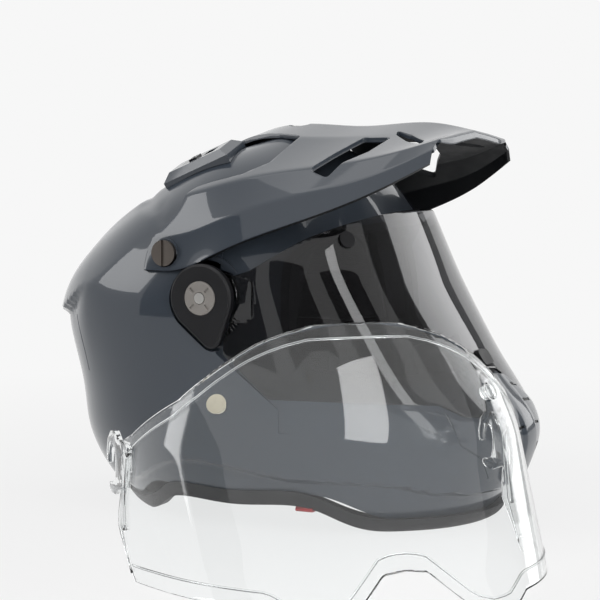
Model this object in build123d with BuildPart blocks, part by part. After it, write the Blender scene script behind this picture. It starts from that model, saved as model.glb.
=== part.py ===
from build123d import *
import math
import os

# Dual sport helmet, in millimetres. +Z is up, -Y is the way the wearer faces and
# the origin is the middle of the head opening in the plane that the helmet stands on.

# Driving sizes of the shell
shell_height = 260.0
shell_half_width = 128.0
shell_front_reach = 187.0
shell_rear_reach = 146.0
shell_wall = 5.0
halving_steps = 40

# Sizes that many pieces share
seat_gap = 0.3
screw_gap = 0.1
overrun = 30.0
soft_gap = 0.4

# Lower edge and its trim
rim_arch_rise = 16.0
trim_height = 10.0
trim_lip = 1.2
trim_depth = 8.0

# Eye port and its rubber seal
port_corner_radius = 14.0
gasket_width = 5.0
gasket_depth = 9.0

# Impact liner and padding
liner_wall = 30.0
comfort_wall = 8.0
comfort_channel_width = 4.0
comfort_channel_depth = 3.0
comfort_channels = 5
chin_foam_wall = 14.0
chin_foam_corner = 4.0
guard_wall = 2.0
guard_half_width = 46.0
guard_rise = 22.0
curtain_wall = 1.5
curtain_height = 12.0
cheek_depth = 34.0
cheek_draw_in = 7.0
cheek_channel_width = 5.0
cheek_channel_depth = 3.0
cheek_corner_radius = 16.0
neck_roll_wall = 22.0
neck_roll_draw_in = 9.0

# Face shield
lens_wall = 2.2
lens_clearance = 0.8
lens_hole_clearance = 0.15
arm_radius = 19.0
arm_wall = 3.0
arm_half_height = 12.0
arm_reach = 34.0
tab_width = 18.0
tab_height = 9.0
tab_wall = 3.0
pin_radius = 4.2
pin_length = 6.0
pin_head_radius = 5.6
pin_head_wall = 1.5

# Pivots
land_margin = 2.0
land_wall = 5.0
plate_radius = 18.0
plate_wall = 2.0
hub_radius = 7.0
cover_radius = 22.0
cover_wall = 5.6
cover_edge = 1.5
cover_lobe_radius = 7.0
disc_radius = 11.0
disc_wall = 5.0
disc_gap = 0.3
disc_mark_width = 1.4
disc_mark_depth = 0.6
pivot_screw_radius = 2.0
pivot_screw_head = 3.6
pivot_screw_head_wall = 1.6

# Peak
peak_wall = 3.0
lip_wall = 3.0
peak_slot_width = 7.0
ear_boss_radius = 9.0
ear_screw_radius = 2.5
ear_screw_head = 8.5
ear_screw_head_wall = 3.0
ear_slot_width = 2.2
ear_slot_depth = 1.2
crown_boss_radius = 8.0
crown_screw_radius = 2.5
crown_screw_head = 6.0
crown_screw_head_wall = 2.0
ear_screw_length = 14.0

# Vents
chin_cover_lift = 8.0
chin_cover_wall = 2.4
chin_mesh_wall = 1.0
chin_slot_width = 4.0
chin_slot_pitch = 9.0
chin_slots = 3
shutter_height = 16.0
shutter_wall = 2.0
shutter_margin = 3.0
shutter_setback = 3.6
shutter_stem = 24.0
shutter_knob = 6.0
vent_bore_radius = 3.5
pod_length = 52.0
pod_width = 34.0
pod_height = 7.0
pod_chamfer = 5.0
slider_length = 18.0
slider_width = 12.0
slider_wall = 3.0
slider_travel = 8.0
slider_grip = 1.2
rear_vent_half_width = 34.0
rear_vent_height = 13.0
rear_vent_lift = 6.0

# Retention strap and its buckle
strap_width = 22.0
strap_wall = 1.8
anchor_wall = 3.0
anchor_height = 24.0
buckle_length = 42.0
buckle_height = 9.0
buckle_overhang = 3.0
lever_length = 26.0
lever_wall = 2.5
lever_pin_radius = 1.5
rack_wall = 2.5
rack_length = 30.0
pull_tab_width = 12.0
pull_tab_wall = 1.2
pull_tab_height = 8.0
pull_tab_gap = 1.6
rack_teeth = 7

# Spare shield that stands by the helmet
spare_turn_angle = -46.0
spare_lean_angle = -4.0
spare_side_offset = -160.0
spare_front_offset = -102.0

# Shares of height, half width, front reach, rear reach and centre at each level
form_shares = (
    (0.000, 0.720, 0.845, 0.630, -0.107),
    (0.069, 0.812, 0.920, 0.753, -0.086),
    (0.146, 0.883, 0.968, 0.842, -0.053),
    (0.223, 0.938, 0.990, 0.884, -0.021),
    (0.300, 0.969, 0.945, 0.890, 0.011),
    (0.377, 0.984, 0.856, 0.911, 0.032),
    (0.454, 0.992, 0.802, 0.952, 0.043),
    (0.531, 0.992, 0.754, 0.986, 0.048),
    (0.596, 0.984, 0.700, 0.966, 0.043),
    (0.685, 0.930, 0.615, 0.856, 0.021),
    (0.769, 0.844, 0.524, 0.692, -0.011),
    (0.846, 0.719, 0.449, 0.493, -0.043),
    (0.908, 0.578, 0.364, 0.315, -0.064),
    (0.954, 0.406, 0.267, 0.137, -0.086),
    (0.985, 0.234, 0.203, -0.040, -0.118),
    (1.000, 0.094, 0.160, -0.110, -0.123),
)
# Shares of height, half width and reach ahead of the pivot of the face shield
lens_shares = (
    (0.230, 0.950, 0.952),
    (0.300, 0.968, 0.905),
    (0.392, 0.977, 0.813),
    (0.481, 0.973, 0.733),
    (0.592, 0.963, 0.642),
    (0.677, 0.938, 0.583),
    (0.788, 0.850, 0.520),
    (0.854, 0.766, 0.481),
    (0.910, 0.640, 0.445),
)
# How full the egg outlines and the plan of the face shield are, as shares of their reach
egg_fullness_share = 0.64
lens_fullness_share = 0.71
# Places along the lower edge where its arch starts, crests and ends
rim_shares = (-0.66, -0.40, -0.10, 0.16, 0.42)
pivot_shares = (-0.048, 0.592)
land_share = 0.922
# Side view outlines, as shares of the front reach and of the height
port_shares = ((-1.3, 0.377), (-0.62, 0.377), (-0.42, 0.400), (-0.33, 0.480), (-0.31, 0.690),
               (-0.40, 0.755), (-0.62, 0.785), (-1.3, 0.785))
arm_outline_shares = ((-0.305, 0.335), (-0.125, 0.455), (-0.125, 0.640), (-0.214, 0.662),
                      (-0.385, 0.742), (-0.560, 0.800), (-1.3, 0.800), (-1.3, 0.200),
                      (-0.305, 0.200))
spare_outline_shares = ((-0.305, 0.335), (-0.125, 0.455), (-0.125, 0.640), (-0.214, 0.662),
                        (-0.385, 0.742), (-0.428, 0.788), (-0.455, 0.827), (-0.471, 0.862),
                        (-0.487, 0.888), (-0.492, 0.900), (-1.3, 0.900), (-1.3, 0.200),
                        (-0.305, 0.200))
land_outline_shares = ((-0.320, 0.320), (-0.100, 0.455), (-0.100, 0.720), (-0.214, 0.760),
                       (-0.385, 0.830), (-0.560, 0.850), (-1.3, 0.850), (-1.3, 0.260),
                       (-0.320, 0.260))
liner_front_shares = ((-1.3, -0.2), (-1.3, 0.795), (-0.66, 0.795), (-0.42, 0.768), (-0.295, 0.690),
                      (-0.295, 0.470), (-0.010, 0.440), (-0.010, -0.2))
# Lower edge of the face shield seen from the front, shares of half width and of height
nose_shares = ((0.0, 0.394), (0.10, 0.388), (0.29, 0.305), (0.38, 0.292), (0.47, 0.296),
               (0.58, 0.330), (0.92, 0.345), (1.3, 0.345))
# Stations of the peak, as shares: reach, then half width and height from edge to ridge
peak_station_shares = (
    (0.340, ((0.930, 0.640), (0.860, 0.720), (0.740, 0.790), (0.300, 0.870), (0.0, 0.888))),
    (0.182, ((0.965, 0.655), (0.915, 0.740), (0.790, 0.830), (0.300, 0.930), (0.0, 0.950))),
    (0.053, ((0.975, 0.658), (0.935, 0.750), (0.830, 0.850), (0.310, 0.975), (0.0, 1.000))),
    (-0.107, ((0.985, 0.704), (0.930, 0.790), (0.810, 0.880), (0.310, 0.990), (0.0, 1.026))),
    (-0.374, ((0.915, 0.780), (0.850, 0.850), (0.700, 0.915), (0.250, 0.990), (0.0, 1.020))),
    (-0.642, ((0.765, 0.862), (0.720, 0.905), (0.610, 0.950), (0.220, 1.000), (0.0, 1.028))),
    (-0.790, ((0.620, 0.925), (0.590, 0.960), (0.500, 0.985), (0.200, 1.000), (0.0, 1.008))),
)
# Plan of the peak, as shares of the half width and of the front reach
peak_plan_shares = ((0.0, 0.335), (0.10, 0.310), (0.150, 0.210), (0.235, -0.100), (0.270, -0.200),
                    (0.620, -0.185), (0.740, -0.120), (0.780, 0.045), (0.860, 0.085),
                    (0.910, 0.150), (0.930, 0.190), (1.3, 0.190), (1.3, -1.3), (0.0, -1.3))
lip_shares = ((0.0, 1.008), (0.200, 1.000), (0.500, 0.985), (0.590, 0.960), (0.620, 0.925),
              (0.560, 0.935), (0.300, 0.955), (0.0, 0.958))
slot_shares = ((0.190, -0.455, 0.690, -0.385), (0.200, -0.680, 0.470, -0.600))
ear_screw_shares = (0.107, 0.700)
ear_seat_share = 0.957
crown_screw_share = -0.110
crown_seat_share = 1.012
shutter_share = 0.285
nose_start_share = 0.1
chin_foam_share = -0.54
liner_floor_shares = ((-1.3, 0.240), (1.3, 0.240), (1.3, -0.2), (-1.3, -0.2))
pod_shares = (0.400, 0.150)
# Front view of the chin vent, as shares of the half width and of the height
chin_cover_shares = ((0.0, 0.380), (0.105, 0.374), (0.300, 0.290), (0.255, 0.205), (0.170, 0.175),
                     (0.140, 0.110), (0.0, 0.095))
cheek_shares = ((-0.500, 0.112), (-0.060, 0.112), (-0.040, 0.420), (-0.280, 0.440), (-0.500, 0.330))
cheek_channel_shares = (-0.36, -0.22)
crown_floor_shares = ((-1.3, 0.450), (1.3, 0.450), (1.3, -0.2), (-1.3, -0.2))
channel_pitch_share = 0.17
neck_roll_shares = (0.075, 0.215, 0.230)
curtain_reach_share = 0.36
pin_shares = (-0.490, 0.735)
mark_share = 0.68
strap_shares = (0.080, 0.185)
strap_bend_share = 0.62
buckle_share = 0.062
rear_vent_share = 0.458
chin_opening_shares = ((0.120, 0.350, 0.14), (0.125, 0.310, 0.17), (0.110, 0.270, 0.14))
pull_tab_share = -0.370

pivot_y = pivot_shares[0] * shell_front_reach
pivot_z = pivot_shares[1] * shell_height
land_x = land_share * shell_half_width

os.makedirs("parts", exist_ok=True)


def save(builder, label):
    """Label a finished piece and write it."""
    builder.part.label = label
    export_step(builder.part, "parts/" + label + ".step")


def level_values(height, inset):
    """Half width, front, rear and centre of the form at a height, drawn in by an inset."""
    share = height / (shell_height - inset)
    for low, high in zip(form_shares, form_shares[1:]):
        if share <= high[0]:
            break
    part_way = (share - low[0]) / (high[0] - low[0])
    width, front, rear, centre = (a + (b - a) * part_way for a, b in zip(low[1:], high[1:]))
    return (width * (shell_half_width - inset), front * (shell_front_reach - inset),
            rear * (shell_rear_reach - inset), centre * shell_front_reach)


def egg_face(height, values):
    """One level of the helmet: an egg outline of four Bezier quarters."""
    width, front, rear, centre = values
    pull = egg_fullness_share
    behind = pull * (rear - centre)
    ahead = pull * (front + centre)
    with BuildSketch(Plane.XY.offset(height)) as level:
        with BuildLine():
            Bezier((0, rear), (pull * width, rear), (width, centre + behind), (width, centre))
            Bezier((width, centre), (width, centre - ahead), (pull * width, -front), (0, -front))
            mirror(about=Plane.YZ)
        make_face()
    return level.sketch


def helmet_form(inset):
    """The whole outer form of the helmet, drawn in all round by an inset."""
    faces = []
    for height, width, front, rear, centre in form_shares:
        values = (width * (shell_half_width - inset), front * (shell_front_reach - inset),
                  rear * (shell_rear_reach - inset), centre * shell_front_reach)
        if inset > 0 and not faces:
            faces.append(egg_face(-inset, values))
        faces.append(egg_face(height * (shell_height - inset), values))
    with BuildPart() as form:
        loft(faces)
    return form.part


def stacked_form(levels):
    """A form through chosen heights, each with its own inset."""
    with BuildPart() as form:
        loft([egg_face(height, level_values(height, inset)) for height, inset in levels])
    return form.part


def side_x(height, along, inset):
    """Half width of the form at a height and a place along it."""
    width, front, rear, centre = level_values(height, inset)
    reach = rear - centre if along > centre else front + centre
    target = min(1, abs(along - centre) / reach)
    low, high = 0, 1
    for step in range(halving_steps):
        way = (low + high) / 2
        rest = 1 - way
        if 3 * egg_fullness_share * way * rest ** 2 + 3 * way ** 2 * rest + way ** 3 < target:
            low = way
        else:
            high = way
    return width * (rest ** 3 + 3 * way * rest ** 2 + 3 * egg_fullness_share * way ** 2 * rest)


def crown_z(across, along, inset):
    """Height of the form's upper surface over a place in plan."""
    low = form_shares[8][0] * shell_height
    high = shell_height - inset
    for step in range(halving_steps):
        middle = (low + high) / 2
        if side_x(middle, along, inset) > across:
            low = middle
        else:
            high = middle
    return low


def outline_face(plane, points, radius=0.0, inset=0.0, ring=0.0):
    """A closed polygon on a plane, rounded, drawn in or left as a ring where that is asked."""
    with BuildSketch(plane) as region:
        with BuildLine():
            Polyline(points, close=True)
        make_face()
        if radius > 0:
            fillet(region.vertices(), radius)
        if inset > 0:
            offset(amount=-inset, mode=Mode.REPLACE)
        if ring > 0:
            offset(amount=-ring, mode=Mode.SUBTRACT)
    return region.sketch


def side_face(shares, radius=0.0, inset=0.0, ring=0.0, plane=Plane.YZ):
    """A side view region from shares of the front reach and of the height."""
    points = [(along * shell_front_reach, up * shell_height) for along, up in shares]
    return outline_face(plane, points, radius, inset, ring)


def rim_face(rise, top):
    """Side view region between the arched lower edge, raised by a rise, and a top or floor."""
    front = -shell_front_reach - overrun
    back = shell_rear_reach + overrun
    arch = rim_arch_rise + rise
    with BuildSketch(Plane.YZ) as region:
        with BuildLine():
            crest = [(share * shell_front_reach, arch) for share in rim_shares[1:-1]]
            start = (rim_shares[0] * shell_front_reach, rise)
            end = (rim_shares[-1] * shell_front_reach, rise)
            Spline([start] + crest + [end], tangents=[(1, 0), (1, 0)])
            Polyline([end, (back, rise), (back, top), (front, top), (front, rise), start])
        make_face()
    return region.sketch


def lens_body(inset):
    """Solid of the face shield's outer form, drawn in by an inset, ahead of the pivot."""
    faces = []
    back = pivot_y + inset
    pull = lens_fullness_share
    for height, width, reach in lens_shares:
        half = width * shell_half_width - inset
        depth = reach * shell_front_reach - inset
        tip = pivot_y - depth
        shoulder = pivot_y - pull * depth
        with BuildSketch(Plane.XY.offset(height * shell_height)) as level:
            with BuildLine():
                Bezier((half, pivot_y), (half, shoulder), (pull * half, tip), (0, tip))
                if inset > 0:
                    Polyline((half, pivot_y), (half, back), (0, back))
                else:
                    Line((half, pivot_y), (0, pivot_y))
                mirror(about=Plane.YZ)
            make_face()
        faces.append(level.sketch)
    with BuildPart() as body:
        loft(faces)
    return body.part


def pivot_plane(side, distance):
    """Plane across a pivot axis at a distance from the centre plane, facing outwards."""
    return Plane(origin=(side * distance, pivot_y, pivot_z), x_dir=(0, side, 0), z_dir=(side, 0, 0))


def front_prism(shares, inset=0.0, floor=False, start_share=0.5):
    """A mirrored front view outline, or all below it, run forwards from a share of the reach."""
    right = [(across * shell_half_width, up * shell_height) for across, up in shares]
    left = [(-across, up) for across, up in reversed(right) if across > 0]
    if floor:
        right.append((right[-1][0], -overrun))
        left.insert(0, (left[0][0], -overrun))
    start = Plane.XZ.offset(start_share * shell_front_reach)
    with BuildPart() as prism:
        extrude(outline_face(start, right + left, inset=inset), amount=1.5 * shell_front_reach)
    return prism.part


# Forms that several pieces are cut from
outer_form = helmet_form(0)
inner_form = helmet_form(shell_wall)
seat_form = helmet_form(-seat_gap)
packing_form = helmet_form(shell_wall + seat_gap)
soft_form = helmet_form(shell_wall + soft_gap)
liner_inset = shell_wall + seat_gap + liner_wall
liner_bore = helmet_form(liner_inset)
lens_blank = lens_body(0)
lens_core = lens_body(lens_wall + lens_clearance)
width_run = shell_half_width + overrun
sides = (("left", 1), ("right", -1))
port_bottom = port_shares[0][1] * shell_height
cover_foot = land_x + plate_wall + disc_gap + arm_wall + disc_gap
ear_y = ear_screw_shares[0] * shell_front_reach
ear_z = ear_screw_shares[1] * shell_height
ear_x = ear_seat_share * shell_half_width
crown_y = crown_screw_share * shell_front_reach
crown_seat = crown_seat_share * shell_height


def side_disc(side, distance, radius, length):
    """Disc on the pivot axis, run outwards from a distance."""
    with BuildPart() as disc:
        with BuildSketch(pivot_plane(side, distance)):
            Circle(radius)
        extrude(amount=length)
    return disc.part


def cover_disc(side, distance, growth, length):
    """Round outline of a pivot cover with its lobe, grown and run outwards from a distance."""
    with BuildPart() as disc:
        with BuildSketch(pivot_plane(side, distance)):
            Circle(cover_radius + growth)
            with Locations((-side * cover_lobe_radius, -cover_radius - cover_lobe_radius / 2)):
                Circle(cover_lobe_radius + growth)
            make_hull()
        extrude(amount=length)
    return disc.part


def cross_rod(side, start, length, radius, along, up):
    """Round rod along X at a place in side view, run outwards from a start."""
    base = Plane(origin=(side * start, along, up), x_dir=(0, side, 0), z_dir=(side, 0, 0))
    with BuildPart() as rod:
        with BuildSketch(base):
            Circle(radius)
        extrude(amount=length)
    return rod.part


def pod_plane(side):
    """Plane that lies on the crown where a top vent stands, with x backwards along it."""
    across = pod_shares[0] * shell_half_width
    along = pod_shares[1] * shell_front_reach
    half = pod_width / 2
    up = crown_z(across, along, 0)
    backwards = Vector(0, 2 * half, crown_z(across, along + half, 0) - crown_z(across, along - half, 0))
    outwards = Vector(2 * half, 0, crown_z(across + half, along, 0) - crown_z(across - half, along, 0))
    normal = outwards.cross(backwards).normalized()
    base = Vector(side * across, along, up)
    return Plane(origin=base, x_dir=(0, backwards.Y, backwards.Z), z_dir=(side * normal.X, normal.Y, normal.Z))


def shutter_plane():
    """Plane of the chin shutter, leaning with the inside of the chin bar and facing forwards."""
    low = shutter_z - shutter_height / 2
    high = shutter_z + shutter_height / 2
    low_front = level_values(low, shell_wall)[1]
    high_front = level_values(high, shell_wall)[1]
    lean = Vector(0, low_front - high_front, shutter_height).normalized()
    facing = Vector(0, -lean.Z, lean.Y)
    middle = Vector(0, -(low_front + high_front) / 2, shutter_z) - facing * shutter_setback
    return Plane(origin=middle, x_dir=(1, 0, 0), z_dir=facing)


def slot_row(plane, width, height, pitch, count):
    """A row of equal upright slots on a plane."""
    with BuildSketch(plane) as row:
        with GridLocations(pitch, 0, count, 1):
            Rectangle(width, height)
    return row.sketch


shutter_z = shutter_share * shell_height
chin_slot_height = shutter_height - 2 * shutter_margin
pods = {side: pod_plane(side) for name, side in sides}
chin_plane = shutter_plane()
shutter_width = (chin_slots - 1) * chin_slot_pitch + chin_slot_width + 2 * shutter_margin

# Surface of the shell that the face shield lies over
with BuildPart() as lens_land:
    extrude(side_face(land_outline_shares), amount=width_run, both=True)
    add(lens_core, mode=Mode.SUBTRACT)

# Flat boss behind each pivot
with BuildPart() as pivot_bosses:
    for name, side in sides:
        add(cover_disc(side, land_x - land_wall, land_margin + land_wall, land_wall))
    add(outer_form, mode=Mode.INTERSECT)

# Outer shell
with BuildPart() as outer_shell:
    add(outer_form)
    add(inner_form, mode=Mode.SUBTRACT)
    add(pivot_bosses.part)
    extrude(rim_face(trim_height, -overrun), amount=width_run, both=True, mode=Mode.SUBTRACT)
    add(lens_land.part, mode=Mode.SUBTRACT)
    extrude(side_face(port_shares, port_corner_radius), amount=width_run, both=True, mode=Mode.SUBTRACT)
    for name, side in sides:
        add(cover_disc(side, land_x, land_margin, overrun), mode=Mode.SUBTRACT)
        add(side_disc(side, land_x - land_wall, pivot_screw_radius + screw_gap, land_wall), mode=Mode.SUBTRACT)
        add(cross_rod(side, ear_x - overrun, overrun, ear_screw_radius + screw_gap, ear_y, ear_z),
            mode=Mode.SUBTRACT)
        with BuildSketch(pods[side].offset(-overrun)):
            with Locations((-slider_length / 2, 0)):
                Circle(vent_bore_radius)
        extrude(amount=2 * overrun, mode=Mode.SUBTRACT)
    with BuildSketch(Plane.XY.offset(crown_seat - overrun)):
        with Locations((0, crown_y)):
            Circle(crown_screw_radius + screw_gap)
    extrude(amount=overrun, mode=Mode.SUBTRACT)
    extrude(slot_row(chin_plane, chin_slot_width, chin_slot_height, chin_slot_pitch, chin_slots),
            amount=overrun, mode=Mode.SUBTRACT)
save(outer_shell, "outer_shell")

# Trim along the lower edge
with BuildPart() as base_trim:
    add(helmet_form(-trim_lip))
    add(helmet_form(trim_depth), mode=Mode.SUBTRACT)
    extrude(rim_face(0, -overrun), amount=width_run, both=True, mode=Mode.SUBTRACT)
    extrude(rim_face(trim_height, shell_height + overrun), amount=width_run, both=True, mode=Mode.SUBTRACT)
save(base_trim, "base_trim")

# Rubber seal in the eye port
with BuildPart() as eyeport_gasket:
    extrude(side_face(port_shares, port_corner_radius, ring=gasket_width), amount=width_run, both=True)
    add(outer_form, mode=Mode.INTERSECT)
    add(helmet_form(gasket_depth), mode=Mode.SUBTRACT)
    add(lens_land.part, mode=Mode.SUBTRACT)
save(eyeport_gasket, "eyeport_gasket")

# Impact liner of rigid foam
with BuildPart() as impact_liner:
    add(packing_form)
    add(liner_bore, mode=Mode.SUBTRACT)
    extrude(side_face(liner_front_shares), amount=width_run, both=True, mode=Mode.SUBTRACT)
    extrude(side_face(liner_floor_shares), amount=width_run, both=True, mode=Mode.SUBTRACT)
    for name, side in sides:
        pocket = land_x - land_wall - seat_gap
        add(cover_disc(side, pocket, land_margin + land_wall + seat_gap, overrun), mode=Mode.SUBTRACT)
        add(cross_rod(side, ear_x - overrun, overrun, ear_screw_radius + screw_gap, ear_y, ear_z),
            mode=Mode.SUBTRACT)
        with BuildSketch(pods[side].offset(-2 * overrun)):
            with Locations((-slider_length / 2, 0)):
                Circle(vent_bore_radius)
        extrude(amount=3 * overrun, mode=Mode.SUBTRACT)
    with BuildSketch(Plane.XY.offset(crown_seat - overrun)):
        with Locations((0, crown_y)):
            Circle(crown_screw_radius + screw_gap)
    extrude(amount=overrun, mode=Mode.SUBTRACT)
save(impact_liner, "impact_liner")

# Rigid foam in the chin bar
with BuildPart() as chin_foam:
    add(packing_form)
    add(helmet_form(shell_wall + seat_gap + chin_foam_wall), mode=Mode.SUBTRACT)
    chin_floor = 2 * trim_height
    chin_top = port_bottom - gasket_width - seat_gap
    front = -shell_front_reach - overrun
    back = chin_foam_share * shell_front_reach
    block = [(front, chin_floor), (back, chin_floor), (back, chin_top), (front, chin_top)]
    extrude(outline_face(Plane.YZ, block), amount=width_run, both=True, mode=Mode.INTERSECT)
    with BuildSketch(chin_plane.offset(-shutter_wall - seat_gap)):
        Rectangle(shutter_width + chin_slot_pitch + 2 * seat_gap, shutter_height + 2 * seat_gap)
    extrude(amount=overrun, mode=Mode.SUBTRACT)
    with BuildSketch(chin_plane.offset(-overrun)):
        Rectangle(shutter_knob + chin_slot_pitch + 2 * seat_gap, shutter_knob + 2 * seat_gap)
    extrude(amount=overrun, mode=Mode.SUBTRACT)
save(chin_foam, "chin_foam")

# Comfort lining of the crown, with channels along it
comfort_inset = liner_inset + seat_gap
with BuildPart() as crown_liner:
    add(helmet_form(comfort_inset))
    add(helmet_form(comfort_inset + comfort_wall), mode=Mode.SUBTRACT)
    extrude(side_face(liner_front_shares), amount=width_run, both=True, mode=Mode.SUBTRACT)
    extrude(side_face(crown_floor_shares), amount=width_run, both=True, mode=Mode.SUBTRACT)
with BuildPart() as crown_channels:
    with BuildSketch(Plane.XY):
        with GridLocations(channel_pitch_share * shell_half_width, 0, comfort_channels, 1):
            Rectangle(comfort_channel_width, 2 * shell_front_reach)
    extrude(amount=shell_height)
    add(helmet_form(comfort_inset + comfort_wall - comfort_channel_depth), mode=Mode.INTERSECT)
with BuildPart() as crown_cushion:
    add(crown_liner.part)
    add(crown_channels.part, mode=Mode.SUBTRACT)
save(crown_cushion, "crown_liner")


def cheek_face(distance, side, inset):
    """Rounded outline of a cheek pad at a distance from the centre plane, drawn in."""
    place = Plane.YZ.offset(side * distance)
    return side_face(cheek_shares, cheek_corner_radius, inset, plane=place)


def cheek_pad(side):
    """A cheek cushion with a crowned, channelled face and drawn-in sides."""
    middle_y = sum(along for along, up in cheek_shares) / len(cheek_shares) * shell_front_reach
    middle_z = sum(up for along, up in cheek_shares) / len(cheek_shares) * shell_height
    face_x = side_x(middle_z, middle_y, shell_wall) - cheek_depth
    sections = [cheek_face(face_x, side, cheek_draw_in),
                cheek_face(face_x + cheek_draw_in, side, cheek_draw_in / 4),
                cheek_face(face_x + 2 * cheek_draw_in, side, 0),
                cheek_face(shell_half_width, side, 0)]
    with BuildPart() as pad:
        loft(sections, ruled=True)
        add(soft_form, mode=Mode.INTERSECT)
        for share in cheek_channel_shares:
            with BuildSketch(Plane.YZ.offset(side * (face_x - overrun))):
                with Locations((share * shell_front_reach, middle_z)):
                    Rectangle(cheek_channel_width, shell_height)
            extrude(amount=side * (overrun + cheek_channel_depth), mode=Mode.SUBTRACT)
    return pad


for name, side in sides:
    save(cheek_pad(side), "cheek_pad_" + name)

# Neck roll round the back of the opening
roll_low = neck_roll_shares[0] * shell_height
roll_high = neck_roll_shares[1] * shell_height
roll_middle = (roll_low + roll_high) / 2
roll_inset = shell_wall + soft_gap + neck_roll_wall
roll_bore = stacked_form([(roll_low - seat_gap, roll_inset - neck_roll_draw_in), (roll_middle, roll_inset),
                          (roll_high + seat_gap, roll_inset - neck_roll_draw_in)])
with BuildPart() as neck_roll:
    add(soft_form)
    roll_front = neck_roll_shares[2] * shell_front_reach
    roll_back = shell_rear_reach + overrun
    block = [(roll_front, roll_middle), (rim_shares[-1] * shell_front_reach, roll_low), (roll_back, roll_low),
             (roll_back, roll_high), (roll_front, roll_high)]
    extrude(outline_face(Plane.YZ, block), amount=width_run, both=True, mode=Mode.INTERSECT)
    add(roll_bore, mode=Mode.SUBTRACT)
save(neck_roll, "neck_roll")

# Nose guard that stands behind the chin foam
guard_inset = shell_wall + seat_gap + chin_foam_wall + seat_gap
with BuildPart() as breath_guard:
    add(helmet_form(guard_inset))
    add(helmet_form(guard_inset + guard_wall), mode=Mode.SUBTRACT)
    with BuildSketch(Plane.XZ.offset(shell_front_reach / 2)):
        with Locations((0, port_bottom)):
            RectangleRounded(2 * guard_half_width, 2 * guard_rise, guard_rise / 2)
    extrude(amount=shell_front_reach, mode=Mode.INTERSECT)
save(breath_guard, "breath_guard")

# Fabric curtain under the chin
with BuildPart() as chin_curtain:
    add(soft_form)
    with BuildSketch(Plane.YZ):
        with Locations((-shell_front_reach, curtain_height + curtain_wall / 2)):
            Rectangle(2 * curtain_reach_share * shell_front_reach, curtain_wall)
    extrude(amount=width_run, both=True, mode=Mode.INTERSECT)
save(chin_curtain, "chin_curtain")


def lens_holes():
    """Round holes for the pivot hubs through both arms of a face shield."""
    with BuildPart() as holes:
        for name, side in sides:
            add(side_disc(side, land_x, hub_radius + lens_hole_clearance, overrun))
    return holes.part


def pin_rods(radius, start, end):
    """Rods through both sides of a face shield, square to its surface, for its pins."""
    with BuildPart() as rods:
        for name, side in sides:
            with BuildSketch(pin_plane(side).offset(start)):
                Circle(radius)
            extrude(amount=end - start)
    return rods.part


def pin_plane(side):
    """Plane on the outer surface of the face shield where a pin stands."""
    along = pin_shares[0] * shell_front_reach
    up = pin_shares[1] * shell_height
    across = lens_x(up, along)
    turn = Vector(lens_x(up, along - pin_radius) - across, -pin_radius, 0).normalized()
    rise = Vector(lens_x(up + pin_radius, along) - across, 0, pin_radius).normalized()
    normal = rise.cross(turn).normalized()
    if normal.X < 0:
        normal = normal * -1
    return Plane(origin=(side * across, along, up), x_dir=(side * turn.X, turn.Y, turn.Z),
                 z_dir=(side * normal.X, normal.Y, normal.Z))


def lens_x(up, along):
    """Half width of the face shield at a height and a place along it."""
    share = up / shell_height
    for low, high in zip(lens_shares, lens_shares[1:]):
        if share <= high[0]:
            break
    part_way = (share - low[0]) / (high[0] - low[0])
    half = (low[1] + (high[1] - low[1]) * part_way) * shell_half_width
    depth = (low[2] + (high[2] - low[2]) * part_way) * shell_front_reach
    target = min(1, (pivot_y - along) / depth)
    near, far = 0, 1
    for step in range(halving_steps):
        way = (near + far) / 2
        rest = 1 - way
        if 3 * lens_fullness_share * way * rest ** 2 + 3 * way ** 2 * rest + way ** 3 < target:
            near = way
        else:
            far = way
    return half * (rest ** 3 + 3 * way * rest ** 2 + 3 * lens_fullness_share * way ** 2 * rest)


arm_x = land_x + plate_wall + disc_gap


def pane_part(outline):
    """A curved pane cut to a side view outline, with a flat arm at each pivot."""
    with BuildPart() as pane:
        add(lens_blank)
        add(lens_body(lens_wall), mode=Mode.SUBTRACT)
        extrude(side_face(outline), amount=width_run, both=True, mode=Mode.INTERSECT)
        add(front_prism(nose_shares, floor=True, start_share=nose_start_share), mode=Mode.SUBTRACT)
        for name, side in sides:
            add(cover_disc(side, land_x - land_wall, 2 * disc_gap, overrun), mode=Mode.SUBTRACT)
        for name, side in sides:
            with BuildSketch(pivot_plane(side, arm_x)):
                Circle(arm_radius)
                with Locations((-side * arm_reach / 2, 0)):
                    Rectangle(arm_reach, 2 * arm_half_height)
            extrude(amount=arm_wall)
        add(lens_holes(), mode=Mode.SUBTRACT)
        add(pin_rods(pin_radius + lens_hole_clearance, -overrun, overrun), mode=Mode.SUBTRACT)
    return pane.part


# Face shield
with BuildPart() as shield:
    add(pane_part(arm_outline_shares))
save(shield, "shield")

# Pins on the face shield
with BuildPart() as shield_pins:
    add(pin_rods(pin_radius, -lens_wall - pin_length / 2, pin_head_wall))
    add(pin_rods(pin_head_radius, 0, pin_head_wall))
    add(lens_blank, mode=Mode.SUBTRACT)
    add(pin_rods(pin_radius, -lens_wall - pin_length / 2, pin_head_wall))
save(shield_pins, "shield_pins")

# Lifting tab at the foot of the face shield
with BuildPart() as shield_tab:
    add(lens_body(-tab_wall))
    add(lens_blank, mode=Mode.SUBTRACT)
    with BuildSketch(Plane.XZ.offset(shell_front_reach / 2)):
        with Locations((0, nose_shares[0][1] * shell_height + tab_height / 2 + tab_wall)):
            RectangleRounded(tab_width, tab_height, tab_wall)
    extrude(amount=shell_front_reach, mode=Mode.INTERSECT)
save(shield_tab, "shield_tab")

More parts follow.
